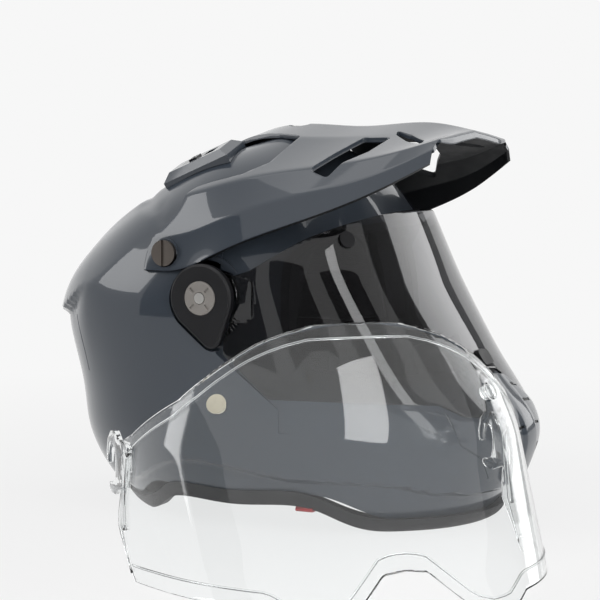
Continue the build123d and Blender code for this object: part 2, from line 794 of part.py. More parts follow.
for name, side in sides:
    # Plate and hub that carry the face shield
    with BuildPart() as pivot_plate:
        add(side_disc(side, land_x, plate_radius, plate_wall))
        add(side_disc(side, land_x, hub_radius, cover_foot - land_x))
        add(side_disc(side, land_x, pivot_screw_radius + screw_gap, overrun), mode=Mode.SUBTRACT)
    save(pivot_plate, "pivot_plate_" + name)

    # Round cover outside the arm, with its lobe and the pocket of the lock disc
    with BuildPart() as pivot_cover:
        add(cover_disc(side, cover_foot, 0, cover_wall))
        outer_edges = pivot_cover.faces().sort_by(Axis.X)[-1 if side > 0 else 0].edges()
        chamfer(outer_edges, cover_edge)
        add(side_disc(side, cover_foot + cover_wall - disc_wall + disc_gap, disc_radius + disc_gap, overrun),
            mode=Mode.SUBTRACT)
        add(side_disc(side, land_x, pivot_screw_radius + screw_gap, overrun), mode=Mode.SUBTRACT)
    save(pivot_cover, "pivot_cover_" + name)

    # Lock disc that turns a quarter of a turn in the cover
    disc_foot = cover_foot + cover_wall - disc_wall + 2 * disc_gap
    with BuildPart() as pivot_disc:
        add(side_disc(side, disc_foot, disc_radius, disc_wall))
        chamfer(pivot_disc.faces().sort_by(Axis.X)[-1 if side > 0 else 0].edges(), disc_mark_depth)
        with BuildSketch(pivot_plane(side, disc_foot + disc_wall - disc_mark_depth)):
            with PolarLocations(disc_radius * mark_share, 4, start_angle=45):
                Rectangle(disc_radius / 3, disc_mark_width)
        extrude(amount=overrun, mode=Mode.SUBTRACT)
        add(side_disc(side, disc_foot + disc_wall - pivot_screw_head_wall, pivot_screw_head + disc_gap, overrun),
            mode=Mode.SUBTRACT)
        add(side_disc(side, land_x, pivot_screw_radius + disc_gap, overrun), mode=Mode.SUBTRACT)
    save(pivot_disc, "pivot_disc_" + name)

# Screws that hold both pivots to the shell
with BuildPart() as pivot_screws:
    for name, side in sides:
        head_foot = disc_foot + disc_wall - pivot_screw_head_wall + disc_gap
        add(side_disc(side, land_x - land_wall, pivot_screw_radius, head_foot - land_x + land_wall))
        add(side_disc(side, head_foot, pivot_screw_head, pivot_screw_head_wall))
save(pivot_screws, "pivot_screws")


def peak_solid(inset, reach):
    """Solid under the peak's upper surface, drawn in by a wall and run past its ends."""
    stations = [(along * shell_front_reach, points) for along, points in peak_station_shares]
    if reach > 0:
        stations.insert(0, (stations[0][0] + reach, stations[0][1]))
        stations.append((stations[-1][0] - reach, stations[-1][1]))
    faces = []
    for along, points in stations:
        right = [(max(0, across * shell_half_width - inset) if across else 0, up * shell_height - inset)
                 for across, up in points]
        if reach > 0:
            right.insert(0, (right[0][0], right[0][1] - reach))
        left = [(-across, up) for across, up in reversed(right) if across > 0]
        faces.append(outline_face(Plane.XZ.offset(-along), right + left))
    with BuildPart() as solid:
        loft(faces, ruled=True)
    return solid.part


def mirrored_plan(shares, height):
    """Plan region from shares of the half width and of the front reach, both sides of the middle."""
    right = [(across * shell_half_width, along * shell_front_reach) for across, along in shares]
    left = [(-across, along) for across, along in reversed(right) if across > 0]
    return outline_face(Plane.XY.offset(height), right + left)


def slot_plan(height):
    """Plan of the slots through both sides of the peak."""
    with BuildSketch(Plane.XY.offset(height)) as slots:
        for near, front, far, back in slot_shares:
            run = ((far - near) * shell_half_width, (back - front) * shell_front_reach)
            middle = ((far + near) / 2 * shell_half_width, (back + front) / 2 * shell_front_reach)
            turn = math.degrees(math.atan2(run[1], run[0]))
            with Locations(middle):
                SlotCenterToCenter(math.hypot(*run), peak_slot_width, turn)
        mirror(about=Plane.YZ)
    return slots.sketch


# Peak: a thin folded shell with two ears, a spine and slots, seated on the crown
peak_front = -peak_station_shares[-1][0] * shell_front_reach
plan_floor = peak_station_shares[0][1][0][1] * shell_height / 2
with BuildPart() as peak:
    add(peak_solid(0, 0))
    add(peak_solid(peak_wall, overrun), mode=Mode.SUBTRACT)
    extrude(mirrored_plan(peak_plan_shares, plan_floor), amount=shell_height, mode=Mode.INTERSECT)
    right = [(across * shell_half_width, up * shell_height) for across, up in lip_shares]
    left = [(-across, up) for across, up in reversed(right) if across > 0]
    extrude(outline_face(Plane.XZ.offset(peak_front - lip_wall), right + left), amount=lip_wall)
    extrude(slot_plan(plan_floor), amount=shell_height, mode=Mode.SUBTRACT)
    for name, side in sides:
        add(cross_rod(side, ear_x - overrun, overrun, ear_boss_radius, ear_y, ear_z))
        add(cross_rod(side, ear_x, overrun, ear_boss_radius, ear_y, ear_z), mode=Mode.SUBTRACT)
    with BuildSketch(Plane.XY.offset(crown_seat - overrun)):
        with Locations((0, crown_y)):
            Circle(crown_boss_radius)
    extrude(amount=overrun)
    with BuildSketch(Plane.XY.offset(crown_seat)):
        with Locations((0, crown_y)):
            Circle(crown_boss_radius)
    extrude(amount=overrun, mode=Mode.SUBTRACT)
    add(seat_form, mode=Mode.SUBTRACT)
    for name, side in sides:
        add(cross_rod(side, ear_x - overrun, overrun, ear_screw_radius + screw_gap, ear_y, ear_z),
            mode=Mode.SUBTRACT)
    with BuildSketch(Plane.XY.offset(crown_seat - overrun)):
        with Locations((0, crown_y)):
            Circle(crown_screw_radius + screw_gap)
    extrude(amount=overrun, mode=Mode.SUBTRACT)
save(peak, "peak")

for name, side in sides:
    # Screw of the peak's ear, with a coin slot
    with BuildPart() as peak_screw:
        add(cross_rod(side, ear_x - ear_screw_length, ear_screw_length, ear_screw_radius, ear_y, ear_z))
        add(cross_rod(side, ear_x, ear_screw_head_wall, ear_screw_head, ear_y, ear_z))
        slot_base = Plane(origin=(side * (ear_x + ear_screw_head_wall - ear_slot_depth), ear_y, ear_z),
                          x_dir=(0, side, 0), z_dir=(side, 0, 0))
        with BuildSketch(slot_base):
            Rectangle(ear_slot_width, 2 * ear_screw_head)
        extrude(amount=overrun, mode=Mode.SUBTRACT)
    save(peak_screw, "peak_screw_" + name)

# Middle screw of the peak
with BuildPart() as peak_top_screw:
    with BuildSketch(Plane.XY.offset(crown_seat - ear_screw_length)):
        with Locations((0, crown_y)):
            Circle(crown_screw_radius)
    extrude(amount=ear_screw_length)
    with BuildSketch(Plane.XY.offset(crown_seat)):
        with Locations((0, crown_y)):
            Circle(crown_screw_head)
    extrude(amount=crown_screw_head_wall)
    with BuildSketch(Plane.XY.offset(crown_seat + crown_screw_head_wall)):
        with Locations((0, crown_y)):
            RegularPolygon(crown_screw_radius, 6)
    extrude(amount=-ear_slot_depth, mode=Mode.SUBTRACT)
save(peak_top_screw, "peak_top_screw")

for name, side in sides:
    # Top vent: a faceted housing on the crown with the pocket of its slider
    with BuildPart() as top_vent:
        with BuildSketch(pods[side].offset(-pod_height)):
            Rectangle(pod_length, pod_width)
        extrude(amount=2 * pod_height)
        chamfer(top_vent.faces().sort_by(Axis((0, 0, 0), pods[side].z_dir))[-1].edges(), pod_chamfer)
        add(seat_form, mode=Mode.SUBTRACT)
        with BuildSketch(pods[side].offset(pod_height - slider_wall)):
            Rectangle(slider_length + slider_travel + 2 * seat_gap, slider_width + 2 * seat_gap)
        extrude(amount=overrun, mode=Mode.SUBTRACT)
        with BuildSketch(pods[side].offset(-overrun)):
            with Locations((-slider_length / 2, 0)):
                Circle(vent_bore_radius)
        extrude(amount=2 * overrun, mode=Mode.SUBTRACT)
    save(top_vent, "top_vent_" + name)

    # Its slider, drawn back so that the vent is open
    with BuildPart() as vent_slider:
        with BuildSketch(pods[side].offset(pod_height - slider_wall + seat_gap)):
            with Locations((slider_travel / 2, 0)):
                Rectangle(slider_length, slider_width)
        extrude(amount=slider_wall - seat_gap)
        with BuildSketch(pods[side].offset(pod_height)):
            with Locations((slider_travel / 2, 0)):
                with GridLocations(2 * slider_grip, 0, 3, 1):
                    Rectangle(slider_grip, slider_width - 2 * slider_grip)
        extrude(amount=slider_grip)
    save(vent_slider, "top_vent_slider_" + name)

# Cover of the chin vent, a thin faceted bump with slots on each side of a rib
with BuildPart() as chin_vent_cover:
    add(helmet_form(-chin_cover_lift))
    add(front_prism(chin_cover_shares), mode=Mode.INTERSECT)
    add(seat_form, mode=Mode.SUBTRACT)
with BuildPart() as chin_vent_hollow:
    add(helmet_form(chin_cover_wall - chin_cover_lift))
    add(front_prism(chin_cover_shares, chin_cover_wall), mode=Mode.INTERSECT)
with BuildPart() as chin_vent_housing:
    add(chin_vent_cover.part)
    add(chin_vent_hollow.part, mode=Mode.SUBTRACT)
    with BuildSketch(Plane.XZ.offset(shell_front_reach / 2)):
        for across, up, length in chin_opening_shares:
            with Locations((across * shell_half_width, up * shell_height),
                           (-across * shell_half_width, up * shell_height)):
                SlotOverall(length * shell_half_width, chin_slot_width)
    extrude(amount=shell_front_reach, mode=Mode.SUBTRACT)
save(chin_vent_housing, "chin_vent_housing")

# Grille behind the slots
with BuildPart() as chin_vent_mesh:
    add(helmet_form(chin_cover_wall + seat_gap - chin_cover_lift))
    add(helmet_form(chin_cover_wall + seat_gap + chin_mesh_wall - chin_cover_lift), mode=Mode.SUBTRACT)
    add(front_prism(chin_cover_shares, chin_cover_wall + seat_gap), mode=Mode.INTERSECT)
save(chin_vent_mesh, "chin_vent_mesh")

# Shutter that slides across behind the slots of the shell
with BuildPart() as chin_vent_shutter:
    with BuildSketch(chin_plane.offset(-shutter_wall)):
        Rectangle(shutter_width, shutter_height)
    extrude(amount=shutter_wall)
    extrude(slot_row(chin_plane.offset(-overrun), chin_slot_width, chin_slot_height, chin_slot_pitch, chin_slots),
            amount=2 * overrun, mode=Mode.SUBTRACT)
    with BuildSketch(chin_plane.offset(-shutter_stem)):
        RectangleRounded(shutter_knob, shutter_knob, shutter_wall)
    extrude(amount=shutter_stem)
save(chin_vent_shutter, "chin_vent_shutter")

# Outlet below the rear edge of the shell
with BuildPart() as rear_vent:
    add(helmet_form(-rear_vent_lift))
    with BuildSketch(Plane.XZ):
        with Locations((0, rear_vent_share * shell_height)):
            RectangleRounded(2 * rear_vent_half_width, rear_vent_height, rear_vent_height / 3)
    extrude(amount=-2 * shell_rear_reach, mode=Mode.INTERSECT)
    add(seat_form, mode=Mode.SUBTRACT)
    with BuildSketch(Plane.XZ):
        with Locations((0, rear_vent_share * shell_height)):
            with GridLocations(rear_vent_half_width / 2, 0, 4, 1):
                SlotOverall(rear_vent_half_width / 3, chin_slot_width)
    extrude(amount=-2 * shell_rear_reach, mode=Mode.SUBTRACT)
save(rear_vent, "rear_vent")

# Retention strap: anchors, webbing and a ratchet buckle
strap_y = strap_shares[0] * shell_front_reach
strap_z = strap_shares[1] * shell_height
anchor_foot = strap_z - anchor_height / 2
anchor_x = side_x(anchor_foot, strap_y, shell_wall) - anchor_wall
buckle_z = buckle_share * shell_height
strap_plane = Plane.XZ.offset(-strap_y)

for name, side in sides:
    with BuildPart() as strap_anchor:
        with BuildSketch(Plane(origin=(side * anchor_x, strap_y, strap_z), x_dir=(0, side, 0),
                               z_dir=(side, 0, 0))):
            RectangleRounded(strap_width + 2 * anchor_wall, anchor_height, anchor_wall)
        extrude(amount=overrun)
        add(inner_form, mode=Mode.INTERSECT)
    save(strap_anchor, "strap_anchor_" + name)

    end_x = buckle_length / 2 if side > 0 else buckle_length / 2 + rack_length / 2
    bend = strap_bend_share * anchor_x
    with BuildPart() as chin_strap:
        with BuildSketch(strap_plane):
            with BuildLine():
                FilletPolyline((side * (anchor_x - strap_wall / 2), strap_z + anchor_height / 2),
                               (side * (anchor_x - strap_wall / 2), anchor_foot),
                               (side * bend, buckle_z), (side * end_x, buckle_z), radius=strap_width)
            trace(line_width=strap_wall)
        extrude(amount=strap_width / 2, both=True)
    save(chin_strap, "chin_strap_" + name)

buckle_top = buckle_z + buckle_height / 2
lever_z = buckle_top - lever_wall / 2
pin_x = buckle_length / 2 - 2 * lever_wall
with BuildPart() as buckle_body:
    with BuildSketch(Plane.XY.offset(buckle_z - buckle_height / 2)):
        with Locations((0, strap_y)):
            RectangleRounded(buckle_length, strap_width + 2 * buckle_overhang, buckle_overhang)
    extrude(amount=buckle_height)
    with BuildSketch(Plane.XY.offset(buckle_top - lever_wall - 2 * seat_gap)):
        with Locations((pin_x + lever_wall - lever_length / 2, strap_y)):
            Rectangle(lever_length + 2 * lever_wall, strap_width - 2 * buckle_overhang + 2 * seat_gap)
    extrude(amount=overrun, mode=Mode.SUBTRACT)
    with BuildSketch(Plane.YZ.offset(-buckle_length / 2)):
        with Locations((strap_y, buckle_z - rack_wall)):
            Rectangle(strap_width - 2 * buckle_overhang + 2 * seat_gap, rack_wall + 2 * seat_gap)
    extrude(amount=rack_length, mode=Mode.SUBTRACT)
    with BuildSketch(Plane.XZ.offset(-strap_y)):
        with Locations((pin_x, lever_z - seat_gap)):
            Circle(lever_pin_radius + lens_hole_clearance)
    extrude(amount=strap_width / 2 + buckle_overhang, both=True, mode=Mode.SUBTRACT)
save(buckle_body, "buckle_body")

with BuildPart() as buckle_lever:
    with BuildSketch(Plane.XY.offset(lever_z - seat_gap - lever_wall / 2)):
        with Locations((pin_x - lever_length / 2, strap_y)):
            Rectangle(lever_length, strap_width - 2 * buckle_overhang)
    extrude(amount=lever_wall)
    with BuildSketch(Plane.XZ.offset(-strap_y)):
        with Locations((pin_x, lever_z - seat_gap)):
            Circle(lever_pin_radius)
    extrude(amount=strap_width / 2 + buckle_overhang, both=True)
save(buckle_lever, "buckle_lever")

with BuildPart() as buckle_rack:
    rack_end = -buckle_length / 2 + rack_length - 2 * seat_gap
    with BuildSketch(Plane.XZ.offset(-strap_y)):
        with Locations((rack_end - 0.75 * rack_length, buckle_z - rack_wall)):
            Rectangle(1.5 * rack_length, rack_wall)
    extrude(amount=strap_width / 2 - buckle_overhang, both=True)
    with BuildSketch(Plane.XZ.offset(-strap_y)):
        with Locations((rack_end - rack_length / 2, buckle_z - rack_wall / 2)):
            with GridLocations(rack_wall, 0, rack_teeth, 1):
                Rectangle(rack_wall / 2, rack_wall / 2)
    extrude(amount=strap_width / 2 - buckle_overhang, both=True, mode=Mode.SUBTRACT)
save(buckle_rack, "buckle_rack")

# Red tabs that hook under the trim, one for each cheek pad
tab_y = pull_tab_share * shell_front_reach
tab_back = tab_y + pull_tab_width / 2
tab_front = tab_y - pull_tab_width / 2
tab_foot = rim_arch_rise - pull_tab_gap
tab_top = tab_foot + pull_tab_height
tab_pad_z = cheek_shares[0][1] * shell_height - pull_tab_wall
half_tab = pull_tab_wall / 2
for name, side in sides:
    outer_top = side_x(tab_top, tab_back, -trim_lip) + pull_tab_gap
    outer_foot = side_x(tab_foot, tab_back, -trim_lip) + pull_tab_gap
    inner_foot = side_x(tab_foot, tab_front, trim_depth) - pull_tab_gap
    with BuildPart() as pull_tab:
        with BuildSketch(Plane.XZ.offset(-tab_y)):
            with BuildLine():
                Polyline((side * outer_top, tab_top), (side * outer_foot, tab_foot),
                         (side * inner_foot, tab_foot), (side * inner_foot, tab_pad_z))
            trace(line_width=pull_tab_wall)
        extrude(amount=pull_tab_width / 2, both=True)
    save(pull_tab, "pull_tab_" + name)

# Spare face shield, standing on its lower edge beside the helmet
with BuildPart() as spare_upright:
    with Locations(Location((0, 0, 0), (0, 0, spare_turn_angle)) * Location((0, 0, 0), (spare_lean_angle, 0, 0))):
        add(pane_part(spare_outline_shares))
spare_place = (spare_side_offset, spare_front_offset, -spare_upright.part.bounding_box().min.Z)
with BuildPart() as spare_shield:
    with Locations(spare_place):
        add(spare_upright.part)
save(spare_shield, "spare_shield")
with BuildPart() as pins_upright:
    with Locations(Location((0, 0, 0), (0, 0, spare_turn_angle)) * Location((0, 0, 0), (spare_lean_angle, 0, 0))):
        add(shield_pins.part)
with BuildPart() as spare_shield_pins:
    with Locations(spare_place):
        add(pins_upright.part)
save(spare_shield_pins, "spare_shield_pins")
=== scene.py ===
import math

import bmesh
import bpy
import numpy as np
from mathutils import Matrix, Vector


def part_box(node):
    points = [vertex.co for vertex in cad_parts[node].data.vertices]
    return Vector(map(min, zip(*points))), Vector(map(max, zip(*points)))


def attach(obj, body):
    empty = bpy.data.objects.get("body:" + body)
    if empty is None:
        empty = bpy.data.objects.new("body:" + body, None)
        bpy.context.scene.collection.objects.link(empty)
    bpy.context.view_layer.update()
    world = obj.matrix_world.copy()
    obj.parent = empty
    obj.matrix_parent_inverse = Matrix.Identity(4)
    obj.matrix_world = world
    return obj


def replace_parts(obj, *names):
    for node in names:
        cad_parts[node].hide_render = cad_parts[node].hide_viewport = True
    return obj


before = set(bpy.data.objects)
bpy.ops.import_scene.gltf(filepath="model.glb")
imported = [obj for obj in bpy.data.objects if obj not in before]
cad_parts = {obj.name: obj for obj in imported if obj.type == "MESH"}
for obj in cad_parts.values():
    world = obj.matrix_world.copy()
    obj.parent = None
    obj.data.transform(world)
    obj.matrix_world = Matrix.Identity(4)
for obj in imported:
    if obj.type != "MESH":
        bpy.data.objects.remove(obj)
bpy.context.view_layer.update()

bl_info = {
    "name": "Dual Sport Helmet",
    "version": (1, 0, 0),
    "blender": (4, 5, 0),
    "location": "View3D > Sidebar > Helmet",
    "description": "Dresses the packed helmet with its paint, panes, padding and studio",
    "category": "Object",
}

MM = 0.001
SIDES = (("left", 1), ("right", -1))
BACKDROP = (0.93, 0.93, 0.93, 1)
# The photo's camera: degrees round and above the helmet, focal length and picture width in pixels
AZIMUTH, ELEVATION, FOCAL_PIXELS, PHOTO_PIXELS, SENSOR = -65, 5, 1846, 600, 36
SPARE_TURN, SPARE_LEAN, SPARE_X, SPARE_Y, BETWEEN_PINS_X = -46, -4, -0.160, -0.102, -0.215
CLOTH_FRAMES = 20

# Shares of height, half width, front reach, rear reach and centre at each level of the helmet
FORM = np.array((
    (0.000, 0.720, 0.845, 0.630, -0.107), (0.069, 0.812, 0.920, 0.753, -0.086),
    (0.146, 0.883, 0.968, 0.842, -0.053), (0.223, 0.938, 0.990, 0.884, -0.021),
    (0.300, 0.969, 0.945, 0.890, 0.011), (0.377, 0.984, 0.856, 0.911, 0.032),
    (0.454, 0.992, 0.802, 0.952, 0.043), (0.531, 0.992, 0.754, 0.986, 0.048),
    (0.596, 0.984, 0.700, 0.966, 0.043), (0.685, 0.930, 0.615, 0.856, 0.021),
    (0.769, 0.844, 0.524, 0.692, -0.011), (0.846, 0.719, 0.449, 0.493, -0.043),
    (0.908, 0.578, 0.364, 0.315, -0.064), (0.954, 0.406, 0.267, 0.137, -0.086),
    (0.985, 0.234, 0.203, -0.040, -0.118), (1.000, 0.094, 0.160, -0.110, -0.123),
))
HEIGHT, HALF_WIDTH, FRONT, REAR = 260.0, 128.0, 187.0, 146.0
FULLNESS = 0.64
FORM_UP = np.vstack((FORM, (1.0015, 0.0, 0.123, -0.1575, -0.123)))
FORM_RUN = np.concatenate(([0], np.cumsum(np.sqrt(
    (np.diff(FORM_UP[:, 0]) * HEIGHT) ** 2 + (np.diff(FORM_UP[:, 1]) * HALF_WIDTH) ** 2
    + (np.diff(FORM_UP[:, 2]) * FRONT) ** 2))))
RIM = (-0.66, -0.40, -0.10, 0.16, 0.42)
RIM_RISE, ARCH_FADE = 16.0, 46.0
PIVOT_Y, PIVOT_Z, LAND_X, COVER_RADIUS = -8.976, 153.92, 118.0, 22
PORT = ((-1.3, 0.377), (-0.62, 0.377), (-0.42, 0.400), (-0.33, 0.480), (-0.31, 0.690),
        (-0.40, 0.755), (-0.62, 0.785), (-1.3, 0.785))
LAND = ((-0.320, 0.320), (-0.100, 0.455), (-0.100, 0.720), (-0.214, 0.760), (-0.385, 0.830),
        (-0.560, 0.850), (-1.3, 0.850), (-1.3, 0.260), (-0.320, 0.260))
# Height, half width and depth of the face shield's form, as shares
PANE = np.array((
    (0.180, 0.930, 0.985), (0.230, 0.950, 0.952), (0.300, 0.968, 0.905), (0.392, 0.977, 0.813),
    (0.481, 0.973, 0.733), (0.592, 0.963, 0.642), (0.677, 0.938, 0.583), (0.788, 0.850, 0.520),
    (0.854, 0.766, 0.481), (0.910, 0.640, 0.445), (0.960, 0.500, 0.410)))
PANE_FULLNESS, PANE_WALL, POLYCARBONATE_IOR = 0.71, 2.2, 1.49
PANE_EDGE = ((-0.305, 0.335), (-0.125, 0.455), (-0.125, 0.640), (-0.214, 0.662),
             (-0.385, 0.742), (-0.560, 0.800), (-1.3, 0.800), (-1.3, 0.200), (-0.305, 0.200))
SPARE_EDGE = ((-0.305, 0.335), (-0.125, 0.455), (-0.125, 0.640), (-0.214, 0.662),
              (-0.385, 0.742), (-0.428, 0.788), (-0.455, 0.827), (-0.471, 0.862), (-0.487, 0.888),
              (-0.492, 0.900), (-1.3, 0.900), (-1.3, 0.200), (-0.305, 0.200))
NOSE = ((0.0, 0.394), (0.10, 0.388), (0.29, 0.305), (0.38, 0.292), (0.47, 0.296),
        (0.58, 0.330), (0.92, 0.345), (1.3, 0.345))


# Work on objects, as by hand
def deselect():
    for obj in bpy.context.selected_objects:
        obj.select_set(False)


def take(*objs):
    deselect()
    for obj in objs:
        obj.select_set(True)
    bpy.context.view_layer.objects.active = objs[0]


def named(name):
    obj = bpy.context.active_object
    obj.name = obj.data.name = name
    return obj


def settle(obj):
    """Puts the piece's place into its mesh."""
    take(obj)
    bpy.ops.object.transform_apply(location=True, rotation=True, scale=True)
    return obj


def add_modifier(obj, kind, **values):
    modifier = obj.modifiers.new(kind.title(), kind)
    for key, value in values.items():
        setattr(modifier, key, value)
    return modifier


def apply_all(obj):
    take(obj)
    for name in [m.name for m in obj.modifiers]:
        bpy.ops.object.modifier_apply(modifier=name)
    return obj


def smooth(obj, degrees=35):
    take(obj)
    bpy.ops.object.shade_smooth_by_angle(angle=math.radians(degrees))
    return obj


def edit_all(obj, *steps):
    """Runs mesh steps on the whole of a piece in edit mode."""
    take(obj)
    bpy.ops.object.mode_set(mode="EDIT")
    for step, values in steps:
        bpy.ops.mesh.select_all(action="SELECT")
        step(**values)
    bpy.ops.mesh.select_all(action="DESELECT")
    bpy.ops.object.mode_set(mode="OBJECT")
    return obj


OUTWARDS = (bpy.ops.mesh.normals_make_consistent, {"inside": False})


def clean(obj, distance=0.01):
    """Merges doubled points and turns all faces outwards."""
    doubles = (bpy.ops.mesh.remove_doubles, {"threshold": distance * MM})
    return edit_all(obj, doubles, OUTWARDS)


def points(obj):
    co = np.zeros(len(obj.data.vertices) * 3)
    obj.data.vertices.foreach_get("co", co)
    return co.reshape(-1, 3)


def set_points(obj, co):
    obj.data.vertices.foreach_set("co", co.ravel())
    obj.data.update()


def pulled_grid(name, columns, rows, place):
    """A flat grid pulled onto a form; place(u, v) gives points in millimetres."""
    deselect()
    bpy.ops.mesh.primitive_grid_add(x_subdivisions=columns, y_subdivisions=rows, size=2)
    obj = named(name)
    co = points(obj)
    set_points(obj, np.stack(place((co[:, 0] + 1) / 2, (co[:, 1] + 1) / 2), 1) * MM)
    return obj


def ease(x, low, high):
    """0 below low, 1 above high, smooth between."""
    t = np.clip((x - low) / (high - low), 0, 1)
    return t * t * (3 - 2 * t)


def curve_through(xs, ys, x):
    """Natural smooth curve through the points of a table."""
    xs, ys = np.asarray(xs, float), np.asarray(ys, float)
    h, n = np.diff(xs), len(xs)
    a = np.zeros((n, n))
    b = np.zeros(n)
    a[0, 0] = a[-1, -1] = 1
    for i in range(1, n - 1):
        a[i, i - 1:i + 2] = h[i - 1], 2 * (h[i - 1] + h[i]), h[i]
        b[i] = 6 * ((ys[i + 1] - ys[i]) / h[i] - (ys[i] - ys[i - 1]) / h[i - 1])
    m = np.linalg.solve(a, b)
    i = np.clip(np.searchsorted(xs, x) - 1, 0, n - 2)
    t, s = x - xs[i], xs[i + 1] - x
    return ((m[i] * s ** 3 + m[i + 1] * t ** 3) / (6 * h[i])
            + (ys[i] / h[i] - m[i] * h[i] / 6) * s + (ys[i + 1] / h[i] - m[i + 1] * h[i] / 6) * t)


def discard(obj):
    bpy.data.objects.remove(obj, do_unlink=True)


def combine(obj, other, operation="DIFFERENCE"):
    """Cuts, joins or crosses a piece with another one, which is used up."""
    add_modifier(obj, "BOOLEAN", operation=operation, solver="EXACT", object=other)
    apply_all(obj)
    discard(other)
    return obj


def rounded(outline, radius, steps=5):
    """Corners of a flat outline rounded to a radius, as far as its sides allow."""
    corners = [np.array(p, float) for p in outline]
    result = []
    for i, corner in enumerate(corners):
        before, after = corners[i - 1] - corner, corners[(i + 1) % len(corners)] - corner
        one, two = before / np.linalg.norm(before), after / np.linalg.norm(after)
        half = math.acos(max(-1, min(1, float(one @ two)))) / 2
        reach = min(radius / max(math.tan(half), 0.05), np.linalg.norm(before) * 0.45,
                    np.linalg.norm(after) * 0.45)
        for k in range(steps + 1):
            t = k / steps
            result.append(tuple(corner + one * reach * (1 - t) ** 2 + two * reach * t ** 2))
    return result


def prism(name, outline, axis, low, high):
    """A solid with a flat outline, run along an axis."""
    deselect()
    bpy.ops.mesh.primitive_circle_add(vertices=len(outline), radius=1, fill_type="NGON")
    obj = named(name)
    place = {"X": lambda a, b: (low, a, b), "Y": lambda a, b: (a, low, b),
             "Z": lambda a, b: (a, b, low)}[axis]
    set_points(obj, np.array([place(a, b) for a, b in outline]) * MM)
    run = [0.0, 0.0, 0.0]
    run["XYZ".index(axis)] = (high - low) * MM
    extrude = (bpy.ops.mesh.extrude_region_move, {"TRANSFORM_OT_translate": {"value": run}})
    return edit_all(obj, extrude, OUTWARDS)


def through(name, outline):
    """A cutter with an outline in side view, right across the helmet."""
    return prism(name, outline, "X", -170, 170)


def side_prism(name, outline, side, near, far):
    """A solid with an outline in side view, on the left side, 1, or the right one, -1."""
    return prism(name, outline, "X", *sorted((side * near, side * far)))


def soften_edges(obj, width, degrees=40):
    """Rounds the sharp edges, so that they catch light."""
    add_modifier(obj, "BEVEL", width=width * MM, segments=2, limit_method="ANGLE",
                 angle_limit=math.radians(degrees), use_clamp_overlap=True, harden_normals=False)
    return apply_all(obj)


def stretched(points_mm, spacing=2.0):
    """Points at an even spacing along a line."""
    line = np.array(points_mm, float)
    steps = np.linalg.norm(np.diff(line, axis=0), axis=1)
    along = np.concatenate(([0], np.cumsum(steps)))
    where = np.linspace(0, along[-1], max(2, int(along[-1] / spacing) + 1))
    return np.stack([np.interp(where, along, line[:, k]) for k in range(line.shape[1])], 1)


def tube(name, points_mm, radius):
    """A round bead along a line of points."""
    data = bpy.data.curves.new(name, "CURVE")
    data.dimensions = "3D"
    data.bevel_depth = radius * MM
    data.bevel_resolution = 2
    data.use_fill_caps = True
    spline = data.splines.new("POLY")
    spline.points.add(len(points_mm) - 1)
    for spot, point in zip(spline.points, points_mm):
        spot.co = (*(float(c) * MM for c in point), 1)
    obj = bpy.data.objects.new(name, data)
    bpy.context.collection.objects.link(obj)
    take(obj)
    bpy.ops.object.convert(target="MESH")
    return clean(named(name), 0.001)


def groove(obj, points_mm, radius):
    """A thin groove along the surface of a piece."""
    line = []
    for point in stretched(points_mm):
        nearest = obj.closest_point_on_mesh(Vector(point * MM))[1]
        line.append(np.array(nearest) / MM)
    return combine(obj, tube("groove_cutter", line, radius))


def joined(obj, *others):
    take(obj, *others)
    bpy.ops.object.join()
    return obj


def copied(node_name, name):
    """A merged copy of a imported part's mesh, as a new piece."""
    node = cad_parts[node_name]
    obj = bpy.data.objects.new(name, node.data.copy())
    bpy.context.collection.objects.link(obj)
    obj.data.name = name
    clean(obj, 0.02)
    return obj


def normals_of(obj):
    """Directions of the surface at the points of a piece."""
    normals = np.zeros(len(obj.data.vertices) * 3)
    obj.data.vertices.foreach_get("normal", normals)
    return normals.reshape(-1, 3)


def thickened(obj, thickness, offset=-1):
    """Gives a sheet its wall, in millimetres."""
    add_modifier(obj, "SOLIDIFY", thickness=thickness * MM, offset=offset, use_even_offset=False)
    return apply_all(obj)


def ring_of(a, b, radius, steps=48):
    """A round outline."""
    turns = [2 * math.pi * k / steps for k in range(steps)]
    return [(a + radius * math.cos(turn), b + radius * math.sin(turn)) for turn in turns]


def distance_to(line, a, b):
    """Signed distance in a flat view to a line of points: above it is positive."""
    best = np.full(np.shape(a), 1e9)
    sign = np.ones(np.shape(a))
    for (a0, b0), (a1, b1) in zip(line, line[1:]):
        da, db = a1 - a0, b1 - b0
        t = np.clip(((a - a0) * da + (b - b0) * db) / (da * da + db * db), 0, 1)
        gap = np.hypot(a - a0 - t * da, b - b0 - t * db)
        near = gap < best
        side = np.sign(da * (b - b0) - db * (a - a0))
        best = np.where(near, gap, best)
        sign = np.where(near, side, sign)
    return best * np.where(sign == 0, 1, sign)


# Form of the helmet and of the face shield
def rim_height(y):
    """Lower edge of the shell: arched between chin and nape."""
    rise = ease(y, RIM[0] * FRONT, RIM[1] * FRONT) * (1 - ease(y, RIM[3] * FRONT, RIM[4] * FRONT))
    return RIM_RISE * rise


def level(z, inset):
    """Half width, front, rear and centre of the form at a height."""
    share = np.clip(z / (HEIGHT - inset), 0, FORM_UP[-1, 0])
    fine_run = np.linspace(0, FORM_RUN[-1], 1500)
    fine_up = np.maximum.accumulate(curve_through(FORM_RUN, FORM_UP[:, 0], fine_run))
    t = np.interp(share, fine_up, fine_run)
    fine = [curve_through(FORM_RUN, FORM_UP[:, k], t) for k in range(1, 5)]
    return (fine[0] * (HALF_WIDTH - inset), fine[1] * (FRONT - inset),
            fine[2] * (REAR - inset), fine[3] * FRONT)


